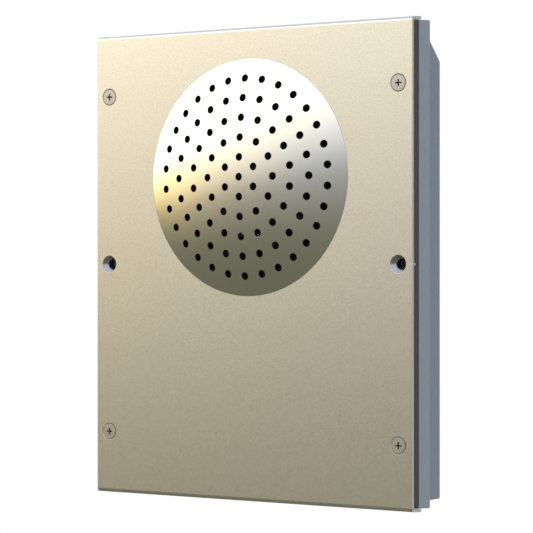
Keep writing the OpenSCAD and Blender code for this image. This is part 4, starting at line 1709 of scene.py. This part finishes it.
@dataclass
class ReflectionCard:
    """Graduated card that stands all round and shows only in reflections.

    Its levels go by how far a direction rises above a slanting bright edge.
    """

    radius: float = 4.0
    low: int = -86
    high: int = 90
    turn: int = 180
    step: int = 4
    strength: float = 2.0
    span: float = 5.0
    levels: tuple[Flat, ...] = (
        (-5, 0.168), (-4, 0.172), (-3, 0.182), (-2, 0.216), (-1, 0.301), (0, 0.446),
        (0.5, 0.60), (1, 0.86), (2, 1.27), (3, 1.68), (4, 1.9))
    plain: Colour = (1.04, 1.0, 0.915)
    warm: Colour = (1.17, 0.99, 0.56)
    cool: Colour = (0.93, 1.0, 1.15)
    low_left: Colour = (1.01, 1.06, 0.86)
    low_right: Colour = (0.92, 0.985, 0.81)
    bright: Colour = (1.0, 1.0, 1.0)
    behind: Colour = (0.40, 0.45, 0.57)
    beside: Colour = (0.31, 0.39, 0.52)
    over: Colour = (0.34, 0.405, 0.565)

    def build(self) -> None:
        """Builds the card as a part of a ball round the panel."""
        els = range(self.low, self.high + 1, self.step)
        azs = range(-self.turn, self.turn + 1, self.step)
        points = [self.radius * outward(az, el) for el in els for az in azs]
        faces = []
        wide = len(azs)
        for row in range(len(els) - 1):
            for col in range(wide - 1):
                k = row * wide + col
                faces.append((k, k + wide, k + wide + 1, k + 1))
        mesh = bpy.data.meshes.new("reflection_card")
        mesh.from_pydata(points, [], faces)
        mesh.shade_smooth()
        card = add_object("reflection_card", mesh)
        mesh.materials.append(self.material())
        for ray in ("camera", "diffuse", "transmission", "volume_scatter", "shadow"):
            setattr(card, f"visible_{ray}", False)

    def level(self, graph: Graph, rise: bpy.types.NodeSocket) -> bpy.types.NodeSocket:
        """Adds the card's brightness.

        Args:
            graph: The card's graph.
            rise: How far a direction rises above the bright edge.

        Returns:
            The brightness, as a share of the card's strength.
        """
        ramp = graph.node("ShaderNodeValToRGB", {0: graph.share(rise, -self.span, self.span)})
        elements = ramp.color_ramp.elements
        while len(elements) < len(self.levels):
            elements.new(0.5)
        for element, (place, level) in zip(elements, self.levels):
            element.position = (place + self.span) / (2 * self.span)
            element.color = (*[level / self.strength] * 3, 1)
        return ramp.outputs["Color"]

    def tint(self, graph: Graph, held: bpy.types.NodeSocket,
             rise: bpy.types.NodeSocket) -> bpy.types.NodeSocket:
        """Adds the card's tint: warm on the left, cool on the right, olive below.

        Args:
            graph: The card's graph.
            held: Azimuth within the part that tints.
            rise: How far a direction rises above the bright edge.

        Returns:
            The tint.
        """
        warm = graph.share(held, -36.0, -60.0)
        side = graph.mix(warm, self.plain, self.warm)
        side = graph.mix(graph.share(held, -36.0, -11.0), side, self.cool)
        low = graph.mix(graph.share(held, -50.0, -10.0), self.low_left, self.low_right)
        side = graph.mix(graph.share(rise, 0.2, -2.5), side, low)
        late = graph.calc("SUBTRACT", rise, warm)
        return graph.mix(graph.share(late, 1.5, 3.4), side, self.bright)

    def material(self) -> bpy.types.Material:
        """Builds the card's glow, dark below and bright above.

        Returns:
            The material.
        """
        graph = Graph("graduated_card")
        calc, share = graph.calc, graph.share
        # Direction from the panel, in degrees
        unit = graph.node("ShaderNodeVectorMath", {0: graph.coords}, operation="NORMALIZE")
        x, y, z = graph.node("ShaderNodeSeparateXYZ", {0: unit.outputs["Vector"]}).outputs
        el = calc("DEGREES", calc("ARCSINE", z))
        az = calc("DEGREES", calc("ARCTAN2", x, calc("MULTIPLY", y, -1.0)))
        # A bright edge that climbs and softens from left to right
        held = calc("MAXIMUM", calc("MINIMUM", az, 5.0), -75.0)
        line = calc("ADD", calc("MULTIPLY_ADD", held, 0.146, 3.65),
                    graph.between(az, 0.0, 2.0, -57.0, -67.0))
        width = calc("ADD", calc("MULTIPLY_ADD", held, 0.0735, 7.2), share(az, -28.0, -12.0))
        rise = calc("DIVIDE", calc("SUBTRACT", el, line), width)
        window = graph.mix(1.0, self.level(graph, rise), self.tint(graph, held, rise),
                           blend_type="MULTIPLY")
        # Grey regions behind, beside and over the panel, and a clear one at the back
        behind = calc("MULTIPLY", share(az, -80.0, -110.0), share(el, -8.0, 4.0))
        window = graph.mix(behind, window, self.behind)
        beside = calc("MULTIPLY", share(az, 12.0, 30.0), share(rise, -0.5, 0.5))
        window = graph.mix(beside, window, self.beside)
        window = graph.mix(share(el, 34.0, 50.0), window, self.over)
        glow = graph.node("ShaderNodeEmission", {"Color": window, "Strength": self.strength})
        open_back = calc("MAXIMUM", share(az, 86.0, 110.0), share(az, -165.0, -178.0))
        graph.fade(glow.outputs["Emission"], calc("MULTIPLY", open_back, share(el, 45.0, 30.0)))
        graph.tree.nodes.remove(graph.shader)
        graph.material.cycles.emission_sampling = "NONE"
        return graph.material


@dataclass
class Studio:
    """Camera, lamps, floor and world round the panel, in metres."""

    target: Point = (0.00782, -0.02671, -0.00117)
    azimuth: float = 34.561
    elevation: float = 0.034
    distance: float = 1.2060
    lens: float = 161.04
    sensor: float = 36.0
    clip: Flat = (0.05, 50.0)
    floor_z: float = -0.30
    floor_r: float = 1.2
    floor_sides: int = 96
    floor_grain_mm: float = 60.0
    floor_fade: Flat = (0.45, 0.98)
    floor_dark: Colour = (0.80, 0.80, 0.80)
    floor_light: Colour = (0.84, 0.84, 0.84)
    floor_roughness: float = 0.9
    dim: float = 0.6

    def build(self) -> None:
        """Builds the studio."""
        bpy.context.scene.view_settings.view_transform = "Standard"
        self.camera()
        self.world()
        self.floor()
        ReflectionCard().build()
        self.lamp("key_lamp", (-1.3, -1.7, 1.6), 1.4, 24.0)
        self.lamp("side_lamp", (2.2, -0.9, 0.7), 1.2, 18.0)

    def camera(self) -> None:
        """Places the camera at the photograph's viewing angle."""
        back = outward(self.azimuth, self.elevation)
        data = bpy.data.cameras.new("camera")
        data.lens = self.lens
        data.sensor_width = self.sensor
        data.clip_start, data.clip_end = self.clip
        camera = add_object("camera", data)
        aim(camera, Vector(self.target) + back * self.distance, -back)
        bpy.context.scene.camera = camera

    def world(self) -> None:
        """Makes a world that is white to the eye, to metal and to glass, and dimmer as a light."""
        world = bpy.data.worlds.new("studio")
        world.use_nodes = True
        graph = Nodes(world.node_tree)
        graph.tree.nodes.clear()
        path = graph.node("ShaderNodeLightPath").outputs
        seen = path["Is Camera Ray"]
        for name in ("Is Glossy Ray", "Is Transmission Ray"):
            seen = graph.calc("MAXIMUM", seen, path[name])
        strength = graph.node("ShaderNodeMapRange", {"To Min": self.dim, "Value": seen})
        sky = graph.node("ShaderNodeBackground", {
            "Color": WHITE, "Strength": strength.outputs["Result"]})
        graph.node("ShaderNodeOutputWorld", {"Surface": sky.outputs["Background"]})
        bpy.context.scene.world = world

    def floor(self) -> None:
        """Makes a pale round floor that fades into the white at its edge."""
        form = bmesh.new()
        bmesh.ops.create_circle(
            form, cap_ends=True, segments=self.floor_sides, radius=self.floor_r)
        mesh = bpy.data.meshes.new("floor")
        form.to_mesh(mesh)
        form.free()
        mesh.transform(Matrix.Translation((0, 0, self.floor_z)))
        floor = add_object("floor", mesh)
        graph = Graph("pale_floor")
        tone = graph.mix(graph.noise(self.floor_grain_mm), self.floor_dark, self.floor_light)
        graph.feed(graph.shader.inputs["Base Color"], tone)
        graph.feed(graph.shader.inputs["Roughness"], self.floor_roughness)
        reach = graph.node("ShaderNodeVectorMath", {0: graph.coords}, operation="LENGTH")
        start, end = self.floor_fade
        graph.fade(graph.shader.outputs["BSDF"],
                   graph.share(reach.outputs["Value"], start, self.floor_r * end))
        mesh.materials.append(graph.material)
        floor.visible_glossy = False

    def lamp(self, name: str, place: Point, size: float, power: float) -> None:
        """Adds a soft square lamp that points at the panel.

        Args:
            name: Name of the lamp.
            place: Where it hangs.
            size: Side of its square.
            power: Power in watts.
        """
        data = bpy.data.lights.new(name, "AREA")
        data.size = size
        data.energy = power
        lamp = add_object(name, data)
        aim(lamp, Vector(place), -Vector(place))
        lamp.visible_glossy = False
        lamp.visible_camera = False


def main() -> None:
    """Builds the studio and each sub-assembly."""
    logging.basicConfig(level=logging.INFO, format="%(name)s: %(message)s")
    Studio().build()
    for assembly in (FrontPanel(), GrilleDome(), Gasket(), BackBox(), PanelScrews(),
                     Loudspeaker(), CableGrommet()):
        assembly.build()
    dress_inside()


if __name__ == "__main__":
    main()
